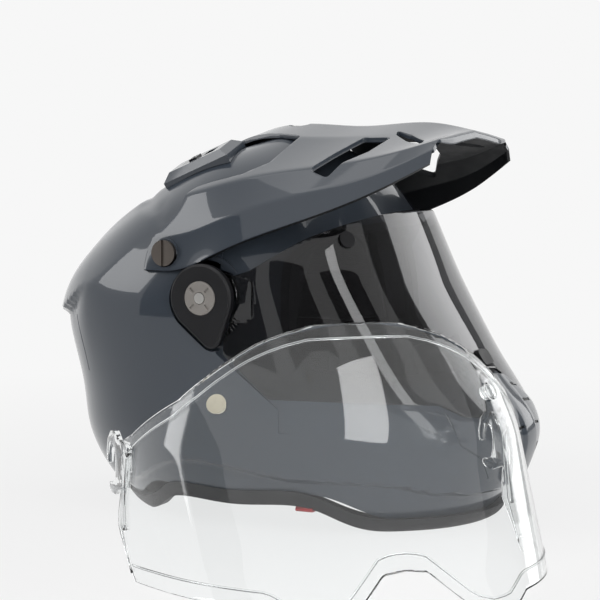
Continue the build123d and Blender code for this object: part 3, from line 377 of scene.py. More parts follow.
def egg(turn, z, inset=0.0):
    """Points of the form, from the nape round the left side and the chin and back."""
    width, front, rear, centre = level(z, inset)
    way = np.clip(np.where(turn < 0.5, turn, 1 - turn) * 4, 0, 2)
    side = np.where(turn < 0.5, 1.0, -1.0)
    behind = way < 1
    s = np.where(behind, way, way - 1)
    t = 1 - s
    p = FULLNESS
    x = np.where(behind, 3 * t * t * s * p * width + 3 * t * s * s * width + s ** 3 * width,
                 t ** 3 * width + 3 * t * t * s * width + 3 * t * s * s * p * width)
    y = np.where(behind,
                 t ** 3 * rear + 3 * t * t * s * rear
                 + 3 * t * s * s * (centre + p * (rear - centre)) + s ** 3 * centre,
                 t ** 3 * centre + 3 * t * t * s * (centre - p * (front + centre))
                 - 3 * t * s * s * front - s ** 3 * front)
    return side * x, y, z


def form_grid(name, columns, rows, foot):
    """The helmet's form as a smooth surface, closed at the crown, with its arched foot open."""
    def place(u, v):
        run = FORM_RUN[0] + v * (FORM_RUN[-1] - FORM_RUN[0])
        z = np.interp(run, FORM_RUN, FORM_UP[:, 0]) * HEIGHT
        z = foot + z * (HEIGHT - foot) / HEIGHT
        arch = rim_height(egg(u, z)[1])
        return egg(u, z + arch * np.clip(1 - (z - foot) / ARCH_FADE, 0, 1))
    return clean(pulled_grid(name, columns, rows, place), 0.02)


def pane_half(z, inset=0.0):
    share = z / HEIGHT
    rows = np.arange(len(PANE))
    fine_rows = np.linspace(0, len(PANE) - 1, 1000)
    t = np.interp(share, curve_through(rows, PANE[:, 0], fine_rows), fine_rows)
    width = curve_through(rows, PANE[:, 1], t) * HALF_WIDTH - inset
    depth = curve_through(rows, PANE[:, 2], t) * FRONT - inset
    return width, depth


def pane_point(a, z, inset=0.0):
    """Points of the face shield's outer form; a runs from -1, the right end, to 1, the left end."""
    width, depth = pane_half(z, inset)
    s = 1 - np.abs(a)
    t = 1 - s
    p = PANE_FULLNESS
    x = t ** 3 * width + 3 * t * t * s * width + 3 * t * s * s * p * width
    y = (t ** 3 + 3 * t * t * s) * PIVOT_Y - 3 * t * t * s * p * depth \
        + (3 * t * s * s + s ** 3) * (PIVOT_Y - depth)
    return np.sign(a) * x, y, z


def pane_place(y, z):
    """Half width of the face shield's form at places in side view."""
    y, z = np.broadcast_arrays(np.asarray(y, float), np.asarray(z, float))
    low, high = np.zeros(y.shape), np.ones(y.shape)
    for step in range(30):
        middle = (low + high) / 2
        ahead = pane_point(middle, z)[1] < y
        low, high = np.where(ahead, middle, low), np.where(ahead, high, middle)
    return pane_point(low, z)[0]


def pane_solid(name, inset, low=0.18, high=0.955):
    """The whole solid ahead of the pivots under the face shield's form."""
    def place(u, v):
        return pane_point(2 * u - 1, (low + v * (high - low)) * HEIGHT, inset)
    obj = pulled_grid(name, 150, 60, place)
    mesh = bmesh.new()
    mesh.from_mesh(obj.data)
    foot = min(v.co.z for v in mesh.verts)
    top = max(v.co.z for v in mesh.verts)
    for z in (foot, top):
        ring = sorted((v for v in mesh.verts if abs(v.co.z - z) < 1e-6), key=lambda v: v.co.x)
        mesh.faces.new(ring)
    back = [v for v in mesh.verts if abs(v.co.y - PIVOT_Y * MM) < 1e-6]
    left = sorted((v for v in back if v.co.x > 0), key=lambda v: v.co.z)
    right = sorted((v for v in back if v.co.x < 0), key=lambda v: -v.co.z)
    mesh.faces.new(left + right)
    bmesh.ops.recalc_face_normals(mesh, faces=mesh.faces)
    mesh.to_mesh(obj.data)
    mesh.free()
    return obj


def cover_outline(growth):
    """Side view of a pivot cover: a disc with a lobe below it."""
    return hull(ring_of(PIVOT_Y, PIVOT_Z, COVER_RADIUS + growth, 64)
                + ring_of(PIVOT_Y - 7, PIVOT_Z - 25.5, 7 + growth, 64))


def hull(spots):
    """Convex outline round points."""
    spots = sorted(set((round(a, 4), round(b, 4)) for a, b in spots))

    def half(row):
        chain = []
        for p in row:
            while len(chain) > 1 and ((chain[-1][0] - chain[-2][0]) * (p[1] - chain[-2][1])
                                      - (chain[-1][1] - chain[-2][1]) * (p[0] - chain[-2][0])) <= 0:
                chain.pop()
            chain.append(p)
        return chain[:-1]
    return half(spots) + half(spots[::-1])


def in_side_view(shares):
    return [(along * FRONT, up * HEIGHT) for along, up in shares]


# Finishes
def new_finish(name, colour, roughness, **sockets):
    mat = bpy.data.materials.new(name)
    mat.use_nodes = True
    shader = mat.node_tree.nodes["Principled BSDF"]
    shader.inputs["Base Color"].default_value = (*colour, 1)
    shader.inputs["Roughness"].default_value = roughness
    for key, value in sockets.items():
        shader.inputs[key.replace("_", " ").title().replace("Ior", "IOR")].default_value = value
    mat.diffuse_color = (*colour, 1)
    return mat, mat.node_tree, shader


def add_node(tree, kind, inputs=None, **settings):
    item = tree.nodes.new(kind)
    for key, value in settings.items():
        setattr(item, key, value)
    for key, value in (inputs or {}).items():
        if isinstance(value, bpy.types.NodeSocket):
            tree.links.new(value, item.inputs[key])
        else:
            item.inputs[key].default_value = value
    return item


def texture(tree, kind, where, inputs, **settings):
    """A texture laid out by the Object or Vector output of another node."""
    return add_node(tree, "ShaderNodeTex" + kind, {"Vector": where, **inputs}, **settings)


def maths(tree, operation, one, two):
    return add_node(tree, "ShaderNodeMath", {0: one, 1: two}, operation=operation).outputs[0]


def mottle(tree, shader, colour, spread, scale, detail=4.0):
    """Slight changes of colour over the surface."""
    where = add_node(tree, "ShaderNodeTexCoord").outputs["Object"]
    noise = texture(tree, "Noise", where, {"Scale": scale, "Detail": detail})
    ramp = add_node(tree, "ShaderNodeValToRGB", {"Fac": noise.outputs["Fac"]})
    ramp.color_ramp.elements[0].position = 0.3
    ramp.color_ramp.elements[1].position = 0.7
    ramp.color_ramp.elements[0].color = (*(c * (1 - spread) for c in colour), 1)
    ramp.color_ramp.elements[1].color = (*(min(1, c * (1 + spread)) for c in colour), 1)
    tree.links.new(ramp.outputs["Color"], shader.inputs["Base Color"])
    return where


def roughen(tree, shader, where, low, high, scale):
    noise = texture(tree, "Noise", where, {"Scale": scale, "Detail": 3.0})
    reach = add_node(tree, "ShaderNodeMapRange",
                     {"Value": noise.outputs["Fac"], "From Min": 0.3, "From Max": 0.7,
                      "To Min": low, "To Max": high})
    tree.links.new(reach.outputs["Result"], shader.inputs["Roughness"])


def relief(tree, shader, height, strength, distance, sockets=("Normal",)):
    bump = add_node(tree, "ShaderNodeBump",
                    {"Height": height, "Strength": strength, "Distance": distance})
    for socket in sockets:
        tree.links.new(bump.outputs["Normal"], shader.inputs[socket])


def gloss_paint(name, colour):
    mat, tree, shader = new_finish(name, colour, 0.3, coat_weight=0.8, coat_roughness=0.04,
                                   coat_ior=1.5)
    shader.inputs["Specular IOR Level"].default_value = 0.15
    where = mottle(tree, shader, colour, 0.03, 6.0, 1.0)
    roughen(tree, shader, where, 0.30, 0.36, 12.0)
    peel = texture(tree, "Noise", where, {"Scale": 110.0, "Detail": 0.0})
    relief(tree, shader, peel.outputs["Fac"], 0.02, 0.0003, ("Normal", "Coat Normal"))
    return mat


def moulded_plastic(name, colour, roughness=0.45, grain=1400.0, strength=0.12):
    mat, tree, shader = new_finish(name, colour, roughness)
    shader.inputs["Specular IOR Level"].default_value = 0.3
    where = mottle(tree, shader, colour, 0.12, 30.0)
    roughen(tree, shader, where, roughness - 0.06, roughness + 0.08, 90.0)
    fine = texture(tree, "Voronoi", where, {"Scale": grain})
    relief(tree, shader, fine.outputs["Distance"], strength, 0.0002)
    return mat


def bead_foam(name, colour):
    mat, tree, shader = new_finish(name, colour, 0.85)
    where = mottle(tree, shader, colour, 0.25, 160.0)
    beads = texture(tree, "Voronoi", where, {"Scale": 320.0}, feature="DISTANCE_TO_EDGE")
    relief(tree, shader, beads.outputs["Distance"], 0.7, 0.001)
    return mat


def woven(name, colour, pitch, sheen=0.4, strength=0.6):
    """Threads that cross at a pitch in metres."""
    mat, tree, shader = new_finish(name, colour, 0.9, sheen_weight=sheen, sheen_roughness=0.5)
    where = mottle(tree, shader, colour, 0.25, 90.0)
    scale = 1 / (pitch * 2 * math.pi) * 3.2
    waves = [texture(tree, "Wave", where, {"Scale": scale, "Distortion": 0.6, "Detail": 1.0,
                                           "Detail Scale": 3.0}, bands_direction=direction)
             for direction in "XYZ"]
    one, two, three = (wave.outputs["Fac"] for wave in waves)
    threads = maths(tree, "ADD", maths(tree, "MAXIMUM", one, two), three)
    relief(tree, shader, threads, strength, 0.0006)
    return mat


def brushed_metal(name, colour, roughness=0.3):
    mat, tree, shader = new_finish(name, colour, roughness, metallic=1.0)
    where = mottle(tree, shader, colour, 0.1, 50.0)
    stretch = add_node(tree, "ShaderNodeMapping",
                       {"Vector": where, "Scale": (200.0, 4000.0, 200.0)})
    lines = texture(tree, "Noise", stretch.outputs["Vector"], {"Scale": 1.0})
    relief(tree, shader, lines.outputs["Fac"], 0.15, 0.0001)
    return mat


def pane_finish(name, colour):
    mat, tree, shader = new_finish(name, colour, 0.0, transmission_weight=1.0,
                                   ior=POLYCARBONATE_IOR)
    mottle(tree, shader, colour, 0.02, 4.0, 0.0)
    return mat


FINISHES = {}


def finish(name):
    """The named finish, made when it is first asked for."""
    if name not in FINISHES:
        p = bpy.context.scene.helmet_settings
        makers = {
            "paint": (gloss_paint, "gloss_paint", p.paint_colour),
            "rubber": (moulded_plastic, "black_rubber", (0.014, 0.014, 0.016), 0.6, 900.0, 0.25),
            "foam": (bead_foam, "black_bead_foam", (0.028, 0.028, 0.03)),
            "fabric": (woven, "brushed_knit", (0.03, 0.032, 0.036), 0.0016),
            "webbing": (woven, "strap_webbing", (0.018, 0.018, 0.02), 0.0024, 0.3, 0.9),
            "red": (woven, "red_webbing", (0.55, 0.03, 0.035), 0.0014, 0.3, 0.7),
            "plastic": (moulded_plastic, "black_plastic", (0.010, 0.010, 0.012), 0.42),
            "gloss_black": (moulded_plastic, "polished_black", (0.012, 0.013, 0.016),
                            0.12, 900.0, 0.01),
            "smoked": (pane_finish, "smoked_pane", p.smoke_colour),
            "clear": (pane_finish, "clear_pane", (0.97, 0.985, 0.985)),
            "cream": (moulded_plastic, "cream_plastic", (0.72, 0.68, 0.55), 0.25, 900.0, 0.02),
            "disc": (moulded_plastic, "warm_grey_disc", (0.30, 0.28, 0.262), 0.35, 1800.0, 0.2),
            "steel": (brushed_metal, "brushed_steel", (0.55, 0.54, 0.52)),
            "gunmetal": (brushed_metal, "warm_gunmetal", (0.17, 0.15, 0.135), 0.36),
            # Painted shade: a near-black finish that stands in for the shade under the peak and
            # inside its wings.
            "underside": (moulded_plastic, "dark_underside", (0.010, 0.011, 0.013), 0.5),
            "mesh": (moulded_plastic, "grille_plastic", (0.012, 0.012, 0.012), 0.5, 500.0, 0.8),
        }
        maker, *values = makers[name]
        FINISHES[name] = maker(*values)
    return FINISHES[name]


def coat(obj, name):
    obj.data.materials.clear()
    obj.data.materials.append(finish(name))
    return obj


FINISHED_NODES = {
    "paint": ("outer_shell", "peak", "top_vent_left", "top_vent_right", "chin_vent_housing"),
    "plastic": ("rear_vent", "breath_guard", "shield_pins", "shield_tab", "pivot_plate_left",
                "pivot_plate_right", "pivot_cover_left", "pivot_cover_right",
                "chin_vent_shutter", "buckle_body", "buckle_lever", "buckle_rack"),
    "rubber": ("base_trim", "eyeport_gasket"),
    "foam": ("impact_liner", "chin_foam"),
    "fabric": ("crown_liner", "cheek_pad_left", "cheek_pad_right", "neck_roll", "chin_curtain"),
    "smoked": ("shield",),
    "disc": ("pivot_disc_left", "pivot_disc_right"),
    "steel": ("pivot_screws", "peak_top_screw", "strap_anchor_left", "strap_anchor_right"),
    "gunmetal": ("peak_screw_left", "peak_screw_right"),
    "gloss_black": ("top_vent_slider_left", "top_vent_slider_right"),
    "mesh": ("chin_vent_mesh",),
    "webbing": ("chin_strap_left", "chin_strap_right"),
    "red": ("pull_tab_left", "pull_tab_right"),
    "clear": ("spare_shield",),
    "cream": ("spare_shield_pins",),
}
NODE_FINISHES = {node: name for name, nodes in FINISHED_NODES.items() for node in nodes}


class HelmetSettings(bpy.types.PropertyGroup):
    """Sizes and colours that a user may change."""
    paint_colour: bpy.props.FloatVectorProperty(
        name="Paint", description="Colour of the gloss paint", subtype="COLOR", size=3,
        default=(0.052, 0.064, 0.082), min=0, max=1)
    smoke_colour: bpy.props.FloatVectorProperty(
        name="Smoke", description="Tint of the mounted face shield", subtype="COLOR", size=3,
        default=(0.17, 0.172, 0.18), min=0, max=1)
    camera_distance: bpy.props.FloatProperty(
        name="Camera Distance", description="From the camera to the helmet", subtype="DISTANCE",
        unit="LENGTH", default=1.3)


class HELMET_OT_stage(bpy.types.Operator):
    """Set up the floor, the lamps, the sky and the camera"""
    bl_idname = "helmet.stage"
    bl_label = "Stage"

    def seen_directly(self, tree):
        """1 where the camera, a reflection or a look through a pane meets the backdrop."""
        path = add_node(tree, "ShaderNodeLightPath").outputs
        seen = maths(tree, "MAXIMUM", path["Is Camera Ray"], path["Is Transmission Ray"])
        return maths(tree, "MAXIMUM", seen, path["Is Glossy Ray"])

    def execute(self, context):
        scene = context.scene
        scene.view_settings.view_transform = "Standard"
        deselect()
        bpy.ops.mesh.primitive_plane_add(size=12, location=(0, 0, 0))
        floor = settle(named("studio_floor"))
        mat, tree, shader = new_finish("pale_floor", (0.86, 0.86, 0.86), 0.9)
        where = add_node(tree, "ShaderNodeTexCoord")
        away = add_node(tree, "ShaderNodeVectorMath", {0: where.outputs["Object"]},
                        operation="LENGTH")
        plain_share = add_node(tree, "ShaderNodeMapRange",
                               {"Value": away.outputs["Value"], "From Min": 0.25, "From Max": 0.75,
                                "To Min": 0.87, "To Max": 1.0})
        share = maths(tree, "MULTIPLY", plain_share.outputs["Result"], self.seen_directly(tree))
        plain_tone = add_node(tree, "ShaderNodeEmission", {"Color": BACKDROP})
        blend = add_node(tree, "ShaderNodeMixShader",
                         {0: share, 1: shader.outputs[0], 2: plain_tone.outputs[0]})
        tree.links.new(blend.outputs[0], tree.nodes["Material Output"].inputs["Surface"])
        floor.data.materials.append(mat)

        world = bpy.data.worlds.new("studio_sky")
        scene.world = world
        world.use_nodes = True
        sky = world.node_tree
        plain = sky.nodes["Background"]
        plain.inputs["Color"].default_value = (1, 1, 1, 1)
        plain.inputs["Strength"].default_value = 0.36
        shown = add_node(sky, "ShaderNodeBackground",
                         {"Color": BACKDROP, "Strength": 1.0})
        mix = add_node(sky, "ShaderNodeMixShader",
                       {0: self.seen_directly(sky), 1: plain.outputs[0], 2: shown.outputs[0]})
        sky.links.new(mix.outputs[0], sky.nodes["World Output"].inputs["Surface"])

        lamps = (
            ("top_softbox", (-0.2, -0.1, 1.5), (0, 0, 0.1), (1.1, 1.1), 4),
            ("near_softbox", (-1.1, 1.5, 1.1), (0, 0, 0.15), (0.6, 1.2), 9),
            ("front_softbox", (-0.8, -1.7, 0.8), (0, 0, 0.15), (0.35, 1.4), 7),
            ("far_softbox", (1.5, -0.9, 0.8), (0, 0, 0.15), (0.8, 1.4), 8),
        )
        for name, place, size, tone in (
                ("rear_flag", (-2.2, 1.0, 0.8), (1.7, 1.9), 0.02),
                ("side_flag", (-2.3, -0.7, 0.8), (1.2, 1.9), 0.03),
                ("front_flag", (-0.9, -2.3, 0.8), (2.0, 1.9), 0.03),
                ("far_flag", (1.9, -1.6, 1.6), (2.6, 3.2), 0.12)):
            deselect()
            bpy.ops.mesh.primitive_plane_add(size=1)
            flag = named(name)
            flag.scale = (*size, 1)
            inwards = Vector((-place[0], -place[1], 0))
            flag.rotation_euler = inwards.to_track_quat("Z", "Y").to_euler()
            flag.location = place
            settle(flag)
            # Dark flags seen only in reflections. Their cloth also glows at half its tone though it
            # is no lamp: painted light in what the helmet reflects.
            dark, tree, shader = new_finish(name + "_cloth", (tone, tone, tone), 0.9)
            mottle(tree, shader, (tone, tone, tone), 0.1, 5.0)
            shader.inputs["Specular IOR Level"].default_value = 0.0
            shader.inputs["Emission Color"].default_value = (tone, tone, tone, 1)
            shader.inputs["Emission Strength"].default_value = 0.5
            flag.data.materials.append(dark)
            flag.visible_camera = flag.visible_transmission = False
            flag.visible_diffuse = flag.visible_shadow = False
        for name, place, aim, size, power in lamps:
            bpy.ops.object.light_add(type="AREA", location=place)
            lamp = named(name)
            lamp.data.shape = "RECTANGLE"
            lamp.data.size, lamp.data.size_y = size
            lamp.data.energy = power
            lamp.rotation_euler = (Vector(aim) - Vector(place)).to_track_quat("-Z", "Y").to_euler()

        azimuth, elevation = math.radians(AZIMUTH), math.radians(ELEVATION)
        back = Vector((math.sin(azimuth) * math.cos(elevation),
                       -math.cos(azimuth) * math.cos(elevation), math.sin(elevation)))
        target = Vector((0, -0.02, 0.143))
        bpy.ops.object.camera_add(location=target + back * scene.helmet_settings.camera_distance)
        camera = named("camera")
        camera.rotation_euler = (-back).to_track_quat("-Z", "Y").to_euler()
        camera.data.sensor_width = SENSOR
        camera.data.lens = SENSOR * FOCAL_PIXELS / PHOTO_PIXELS
        scene.camera = camera
        return {"FINISHED"}


class HELMET_OT_coat_parts(bpy.types.Operator):
    """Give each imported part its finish"""
    bl_idname = "helmet.coat_parts"
    bl_label = "Coat Parts"

    def execute(self, context):
        for name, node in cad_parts.items():
            coat(node, NODE_FINISHES[name])
        return {"FINISHED"}


PEAK_ROWS = (
    (0.340, ((0.930, 0.640), (0.860, 0.720), (0.740, 0.790), (0.300, 0.870), (0.0, 0.888))),
    (0.182, ((0.965, 0.655), (0.915, 0.740), (0.790, 0.830), (0.300, 0.930), (0.0, 0.950))),
    (0.053, ((0.975, 0.658), (0.935, 0.750), (0.830, 0.850), (0.310, 0.975), (0.0, 1.000))),
    (-0.107, ((0.985, 0.704), (0.930, 0.790), (0.810, 0.880), (0.310, 0.990), (0.0, 1.026))),
    (-0.374, ((0.915, 0.780), (0.850, 0.850), (0.700, 0.915), (0.250, 0.990), (0.0, 1.020))),
    (-0.642, ((0.765, 0.862), (0.720, 0.905), (0.610, 0.950), (0.220, 1.000), (0.0, 1.028))),
    (-0.790, ((0.620, 0.925), (0.590, 0.960), (0.500, 0.985), (0.200, 1.000), (0.0, 1.008))),
)
PEAK_PLAN = ((0.0, 0.335), (0.10, 0.310), (0.150, 0.210), (0.235, -0.100), (0.270, -0.200),
             (0.620, -0.185), (0.740, -0.120), (0.780, 0.045), (0.860, 0.085),
             (0.910, 0.150), (0.930, 0.190), (1.3, 0.190), (1.3, -1.3))
PEAK_SLOTS = (((34, -83), (37, -104), (66, -100), (97, -84), (92, -70), (66, -75)),
              ((21, -102), (31, -105), (50, -120), (64, -136), (52, -133), (33, -117)))
PEAK_BACK, PEAK_TIP, LIP_START, LIP_RADIUS = 66, -147.7, 0.94, 3.0
EAR_Y, EAR_Z, EAR_X, CROWN_Y, CROWN_SEAT = 20.009, 182.0, 122.496, -20.57, 263.12
SPOILER = ((-10, 214), (30, 200), (50, 186), (57, 178), (65, 170), (73, 163), (82, 158), (89, 156),
           (96, 152), (103, 147), (110, 143), (118, 139), (135, 136), (175, 134))
REAR_SEAM = ((100, 101, 137), (102, 99, 130), (102, 96, 122), (102, 93, 111), (101, 91, 99))
CHIN_SEAM = ((0, -162, 96), (19, -160, 96), (67, -153, 82), (65, -164, 59), (49, -173, 49),
             (36, -173, 34))
UNDERCUT = ((90, 14), (59, 28), (44, 36), (31, 42), (16, 46), (1, 47), (-30, 43), (-50, 39),
            (-68, 37), (-88, 37), (-111, 36), (-131, 34), (-146, 29), (-164, 26), (-200, 20))


def peak_point(c, y):
    """Upper surface of the peak: c runs from the lower edge, 0, over its folds to the ridge, 4."""
    along = np.array([row[0] for row in PEAK_ROWS])[::-1] * FRONT
    keys = [[curve_through(along, [row[1][k][j] for row in PEAK_ROWS][::-1], y) for j in (0, 1)]
            for k in range(5)]
    x, z = np.zeros_like(c), np.zeros_like(c)
    reach = 0.05
    samples = np.linspace(-reach, reach, 7)
    for step in samples:
        spot = c + step
        back = np.where(spot > 4, 8 - spot, np.maximum(spot, 0))
        k = np.clip(back.astype(int), 0, 3)
        t = back - k
        xs = np.zeros_like(c)
        zs = np.zeros_like(c)
        for i in range(4):
            here = k == i
            xs = np.where(here, keys[i][0] * (1 - t) + keys[i + 1][0] * t, xs)
            zs = np.where(here, keys[i][1] * (1 - t) + keys[i + 1][1] * t, zs)
        x += np.where(spot > 4, -xs, xs)
        z += zs
    return x / len(samples) * HALF_WIDTH, z / len(samples) * HEIGHT


def both_sides(outline):
    """A half outline with its mirror image."""
    return list(outline) + [(-a, b) for a, b in reversed(outline) if a > 0]


def under(obj):
    """Gives the faces that look down or inwards, and the back of the lip, a near-black finish:
    painted shade under the peak.
    """
    obj.data.materials.append(finish("underside"))
    for face in obj.data.polygons:
        outward = face.normal.x * math.copysign(0.75, face.center.x) + face.normal.z * 0.65
        behind_lip = face.normal.y > 0.4 and face.center.y < -125 * MM
        if outward < -0.25 or behind_lip:
            face.material_index = 1


class HELMET_OT_shell(bpy.types.Operator):
    """Model the painted shell with its eye port, creases, grooves and pivot pockets"""
    bl_idname = "helmet.shell"
    bl_label = "Shell"

    def execute(self, context):
        shell = form_grid("painted_shell", 340, 112, 9.4)
        co = points(shell) / MM
        normals = normals_of(shell)
        y, z = co[:, 1], co[:, 2]
        above = -distance_to(SPOILER[::-1], y, z)
        reach = ease(y, 36, 86)
        ridge = np.where(above > 0, np.exp(-above / 14), np.exp(above / 18)) * 4.2 * reach
        ledge = ease(-above, -0.5, 3.0) * np.exp(-np.maximum(-above, 0) / 15) * 6.0
        ledge *= ease(y, 84, 108)
        below = distance_to(UNDERCUT, y, z)
        tucked = ease(below, -1, 5) * np.exp(-np.maximum(below, 0) / 11) * 5.5
        fold = (np.exp(-np.abs(below) / 9) * 2.6 - tucked) * ease(80 - y, 0, 25)
        vee = distance_to(((70, 216), (56, 212), (42, 209), (34, 204), (21, 199)), y, z)
        crown_dent = -np.exp(-(vee / 4.5) ** 2) * 2.0 * ease(y, 18, 26) * (1 - ease(y, 62, 74))
        crown = np.exp(-((np.abs(co[:, 0]) - 62) / 9) ** 2) * 1.2
        crown *= ease(y, 20, 60) * ease(z, 175, 205)
        co += normals * (ridge - ledge + fold + crown + crown_dent)[:, None]
        set_points(shell, co * MM)
        thickened(shell, 5)
        land = combine(through("land_cutter", in_side_view(LAND)),
                       pane_solid("land_core", 3.0))
        combine(shell, land)
        combine(shell, through("port_cutter", rounded(in_side_view(PORT), 14)))
        for side in (1, -1):
            combine(shell, side_prism("pocket_cutter", cover_outline(2), side, LAND_X, 160))
        for side in (1, -1):
            groove(shell, [(side * x, y, z) for x, y, z in REAR_SEAM], 0.55)
        groove(shell, [(-x, y, z) for x, y, z in CHIN_SEAM[:0:-1]] + list(CHIN_SEAM), 0.6)
        bosses = [side_prism("pivot_boss", cover_outline(5), side, 113, 118) for side in (1, -1)]
        joined(shell, *bosses)
        smooth(clean(shell, 0.005), 32)
        coat(shell, "paint")
        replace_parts(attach(shell, "helmet"), "outer_shell")
        return {"FINISHED"}


class HELMET_OT_peak(bpy.types.Operator):
    """Model the folded peak with its spine, wings, slots and rolled lip"""
    bl_idname = "helmet.peak"
    bl_label = "Peak"

    def execute(self, context):
        def place(u, v):
            c = 4 * (1 - np.abs(2 * u - 1))
            main = np.minimum(v / LIP_START, 1)
            y = PEAK_BACK - main * (PEAK_BACK - PEAK_TIP)
            x, z = peak_point(c, y)
            roll = np.clip((v - LIP_START) / (1 - LIP_START), 0, 1)
            angle = np.minimum(roll / 0.7, 1) * math.pi / 2
            drop = ease(c, 1.5, 2.6)
            y = y - LIP_RADIUS * np.sin(angle) * drop
            skirt = 2.5 * np.clip((roll - 0.7) / 0.3, 0, 1)
            z = z - drop * (LIP_RADIUS * (1 - np.cos(angle)) + skirt)
            return np.where(u < 0.5, x, -x), y, z
        peak = clean(pulled_grid("folded_peak", 156, 120, place), 0.01)
        thickened(peak, 3)
        plan = both_sides([(a * HALF_WIDTH, b * FRONT) for a, b in PEAK_PLAN])
        combine(peak, prism("plan_cutter", rounded(plan, 5), "Z", 100, 320), "INTERSECT")
        for side in (1, -1):
            for outline in PEAK_SLOTS:
                combine(peak, prism("slot_cutter", rounded([(side * a, b) for a, b in outline], 3),
                                    "Z", 150, 320))
            ear = ring_of(EAR_Y, EAR_Z, 9.2)
            combine(peak, side_prism("ear_cutter", ear, side, EAR_X, 150))
            joined(peak, side_prism("ear_boss", ear, side, EAR_X - 6, EAR_X))
        crown = ring_of(0, CROWN_Y, 8.2)
        combine(peak, prism("crown_cutter", crown, "Z", CROWN_SEAT, 320))
        joined(peak, prism("crown_boss", crown, "Z", CROWN_SEAT - 4, CROWN_SEAT))
        soften_edges(clean(peak, 0.005), 0.5, 50)
        smooth(peak, 24)
        coat(peak, "paint")
        # The peak's downward and inward faces get painted shade.
        under(peak)
        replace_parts(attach(peak, "helmet"), "peak")
        return {"FINISHED"}


def pane_piece(name, edge, hook=False):
    """A curved pane with thickness, cut to its outline, with an arm at each pivot."""
    def place(u, v):
        return pane_point(2 * u - 1, (0.185 + v * 0.77) * HEIGHT)
    pane = pulled_grid(name, 180, 80, place)
    clean(pane, 0.005)
    thickened(pane, PANE_WALL)
    combine(pane, through("edge_cutter", rounded(in_side_view(edge), 4)), "INTERSECT")
    front = [(a * HALF_WIDTH, b * HEIGHT) for a, b in NOSE] + [(1.3 * HALF_WIDTH, -60)]
    combine(pane, prism("nose_cutter", rounded(both_sides(front), 6), "Y", -260, -0.1 * FRONT))
    for side in (1, -1):
        combine(pane, side_prism("pocket_cutter", cover_outline(0.6), side, 113, 160))
        if hook:
            outline = [(PIVOT_Y + a, PIVOT_Z + b) for a, b in (
                (-34, 12), (-14, 14), (-6, 18.5), (4, 18), (12, 13), (15.5, 5), (14.5, -1.5),
                (11.5, -2), (10, 2), (7, 8), (1, 10.5), (-4, 8), (-6.5, 2), (-6, -5), (-3, -11),
                (3, -13), (9, -12.5), (11, -15), (6, -18), (-4, -19), (-14, -16), (-34, -12))]
        else:
            outline = hull(ring_of(PIVOT_Y, PIVOT_Z, 19)
                           + [(PIVOT_Y - 34, PIVOT_Z - 12), (PIVOT_Y - 34, PIVOT_Z + 12)])
        combine(pane, side_prism("arm", rounded(outline, 2.5), side, 120.3, 123.3), "UNION")
        if not hook:
            hole = ring_of(PIVOT_Y, PIVOT_Z, 7.3)
            combine(pane, side_prism("hole_cutter", hole, side, 118, 126))
    soften_edges(clean(pane, 0.005), 0.35, 45)
    return smooth(pane, 30)


class HELMET_OT_panes(bpy.types.Operator):
    """Model the smoked face shield and the clear spare one"""
    bl_idname = "helmet.panes"
    bl_label = "Face Shields"

    def beads(self):
        """Raised lines on the spare shield: near its edges and over its nose."""
        def on_pane(shares, way=1):
            return [(way * float(pane_place(y, z)), y, z)
                    for y, z in stretched(in_side_view(shares), 3)]
        side = on_pane(((-0.262, 0.362), (-0.165, 0.458), (-0.165, 0.610), (-0.226, 0.630),
                        (-0.393, 0.708), (-0.440, 0.752), (-0.470, 0.795), (-0.489, 0.830),
                        (-0.510, 0.866)))
        brow = [pane_point(np.array(a), 0.872 * HEIGHT) for a in np.linspace(0.70, -0.70, 60)]
        brow = [tuple(float(c) for c in p) for p in brow if p[1] < side[-1][1] - 2]
        nose, (nose_across, nose_up) = [], zip(*NOSE)
        for a in np.linspace(0.97, -0.97, 90):
            z = 0.36 * HEIGHT
            for step in range(4):
                x = float(pane_point(np.array(a), z)[0])
                z = float(np.interp(abs(x) / HALF_WIDTH, nose_across, nose_up)) * HEIGHT + 9
            x, y, z = (float(c) for c in pane_point(np.array(a), z))
            if y < side[0][1] - 1:
                nose.append((x, y, z))
        lines = [(side + brow + [(-x, y, z) for x, y, z in side[::-1]], 0.75), (nose, 0.75)]
        for way in (1, -1):
            lines.append((on_pane(((-0.205, 0.45), (-0.195, 0.53), (-0.215, 0.62)), way), 1.7))
        return lines

    def execute(self, context):
        mounted = pane_piece("smoked_face_shield", PANE_EDGE)
        teeth = []
        for side in (1, -1):
            for k in range(8):
                angle = math.radians(30 + 5 * k)
                ends = [(side * 123.2, PIVOT_Y - r * math.cos(angle), PIVOT_Z - r * math.sin(angle))
                        for r in (24.6, 27.0, 29.4)]
                teeth.append(tube("ratchet_tooth", ends, 0.55))
        joined(mounted, *teeth)
        coat(mounted, "smoked")
        mounted.visible_shadow = False
        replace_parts(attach(mounted, "shield"), "shield")

        spare = pane_piece("clear_spare_shield", SPARE_EDGE, hook=True)
        for line, radius in self.beads():
            joined(spare, tube("bead", line, radius))
        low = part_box("spare_shield")[0]
        spare.data.transform(Matrix.Rotation(math.radians(SPARE_TURN), 4, "Z")
                             @ Matrix.Rotation(math.radians(SPARE_LEAN), 4, "X"))
        drop = low.z - min(v.co.z for v in spare.data.vertices)
        spare.data.transform(Matrix.Translation((SPARE_X, SPARE_Y, drop)))
        coat(spare, "clear")
        spare.visible_shadow = False
        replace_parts(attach(spare, "spare_shield"), "spare_shield")

        for name, colour, near in (("spare_pin_cream", "cream", True),
                                   ("spare_pin_clear", "clear", False)):
            pin = copied("spare_shield_pins", name)
            take(pin)
            for vertex in pin.data.vertices:
                vertex.select = (vertex.co.x < BETWEEN_PINS_X) != near
            bpy.ops.object.mode_set(mode="EDIT")
            bpy.ops.mesh.delete(type="VERT")
            bpy.ops.object.mode_set(mode="OBJECT")
            smooth(soften_edges(pin, 0.8, 40), 40)
            coat(pin, colour)
            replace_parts(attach(pin, "spare_shield"), "spare_shield_pins")
        return {"FINISHED"}


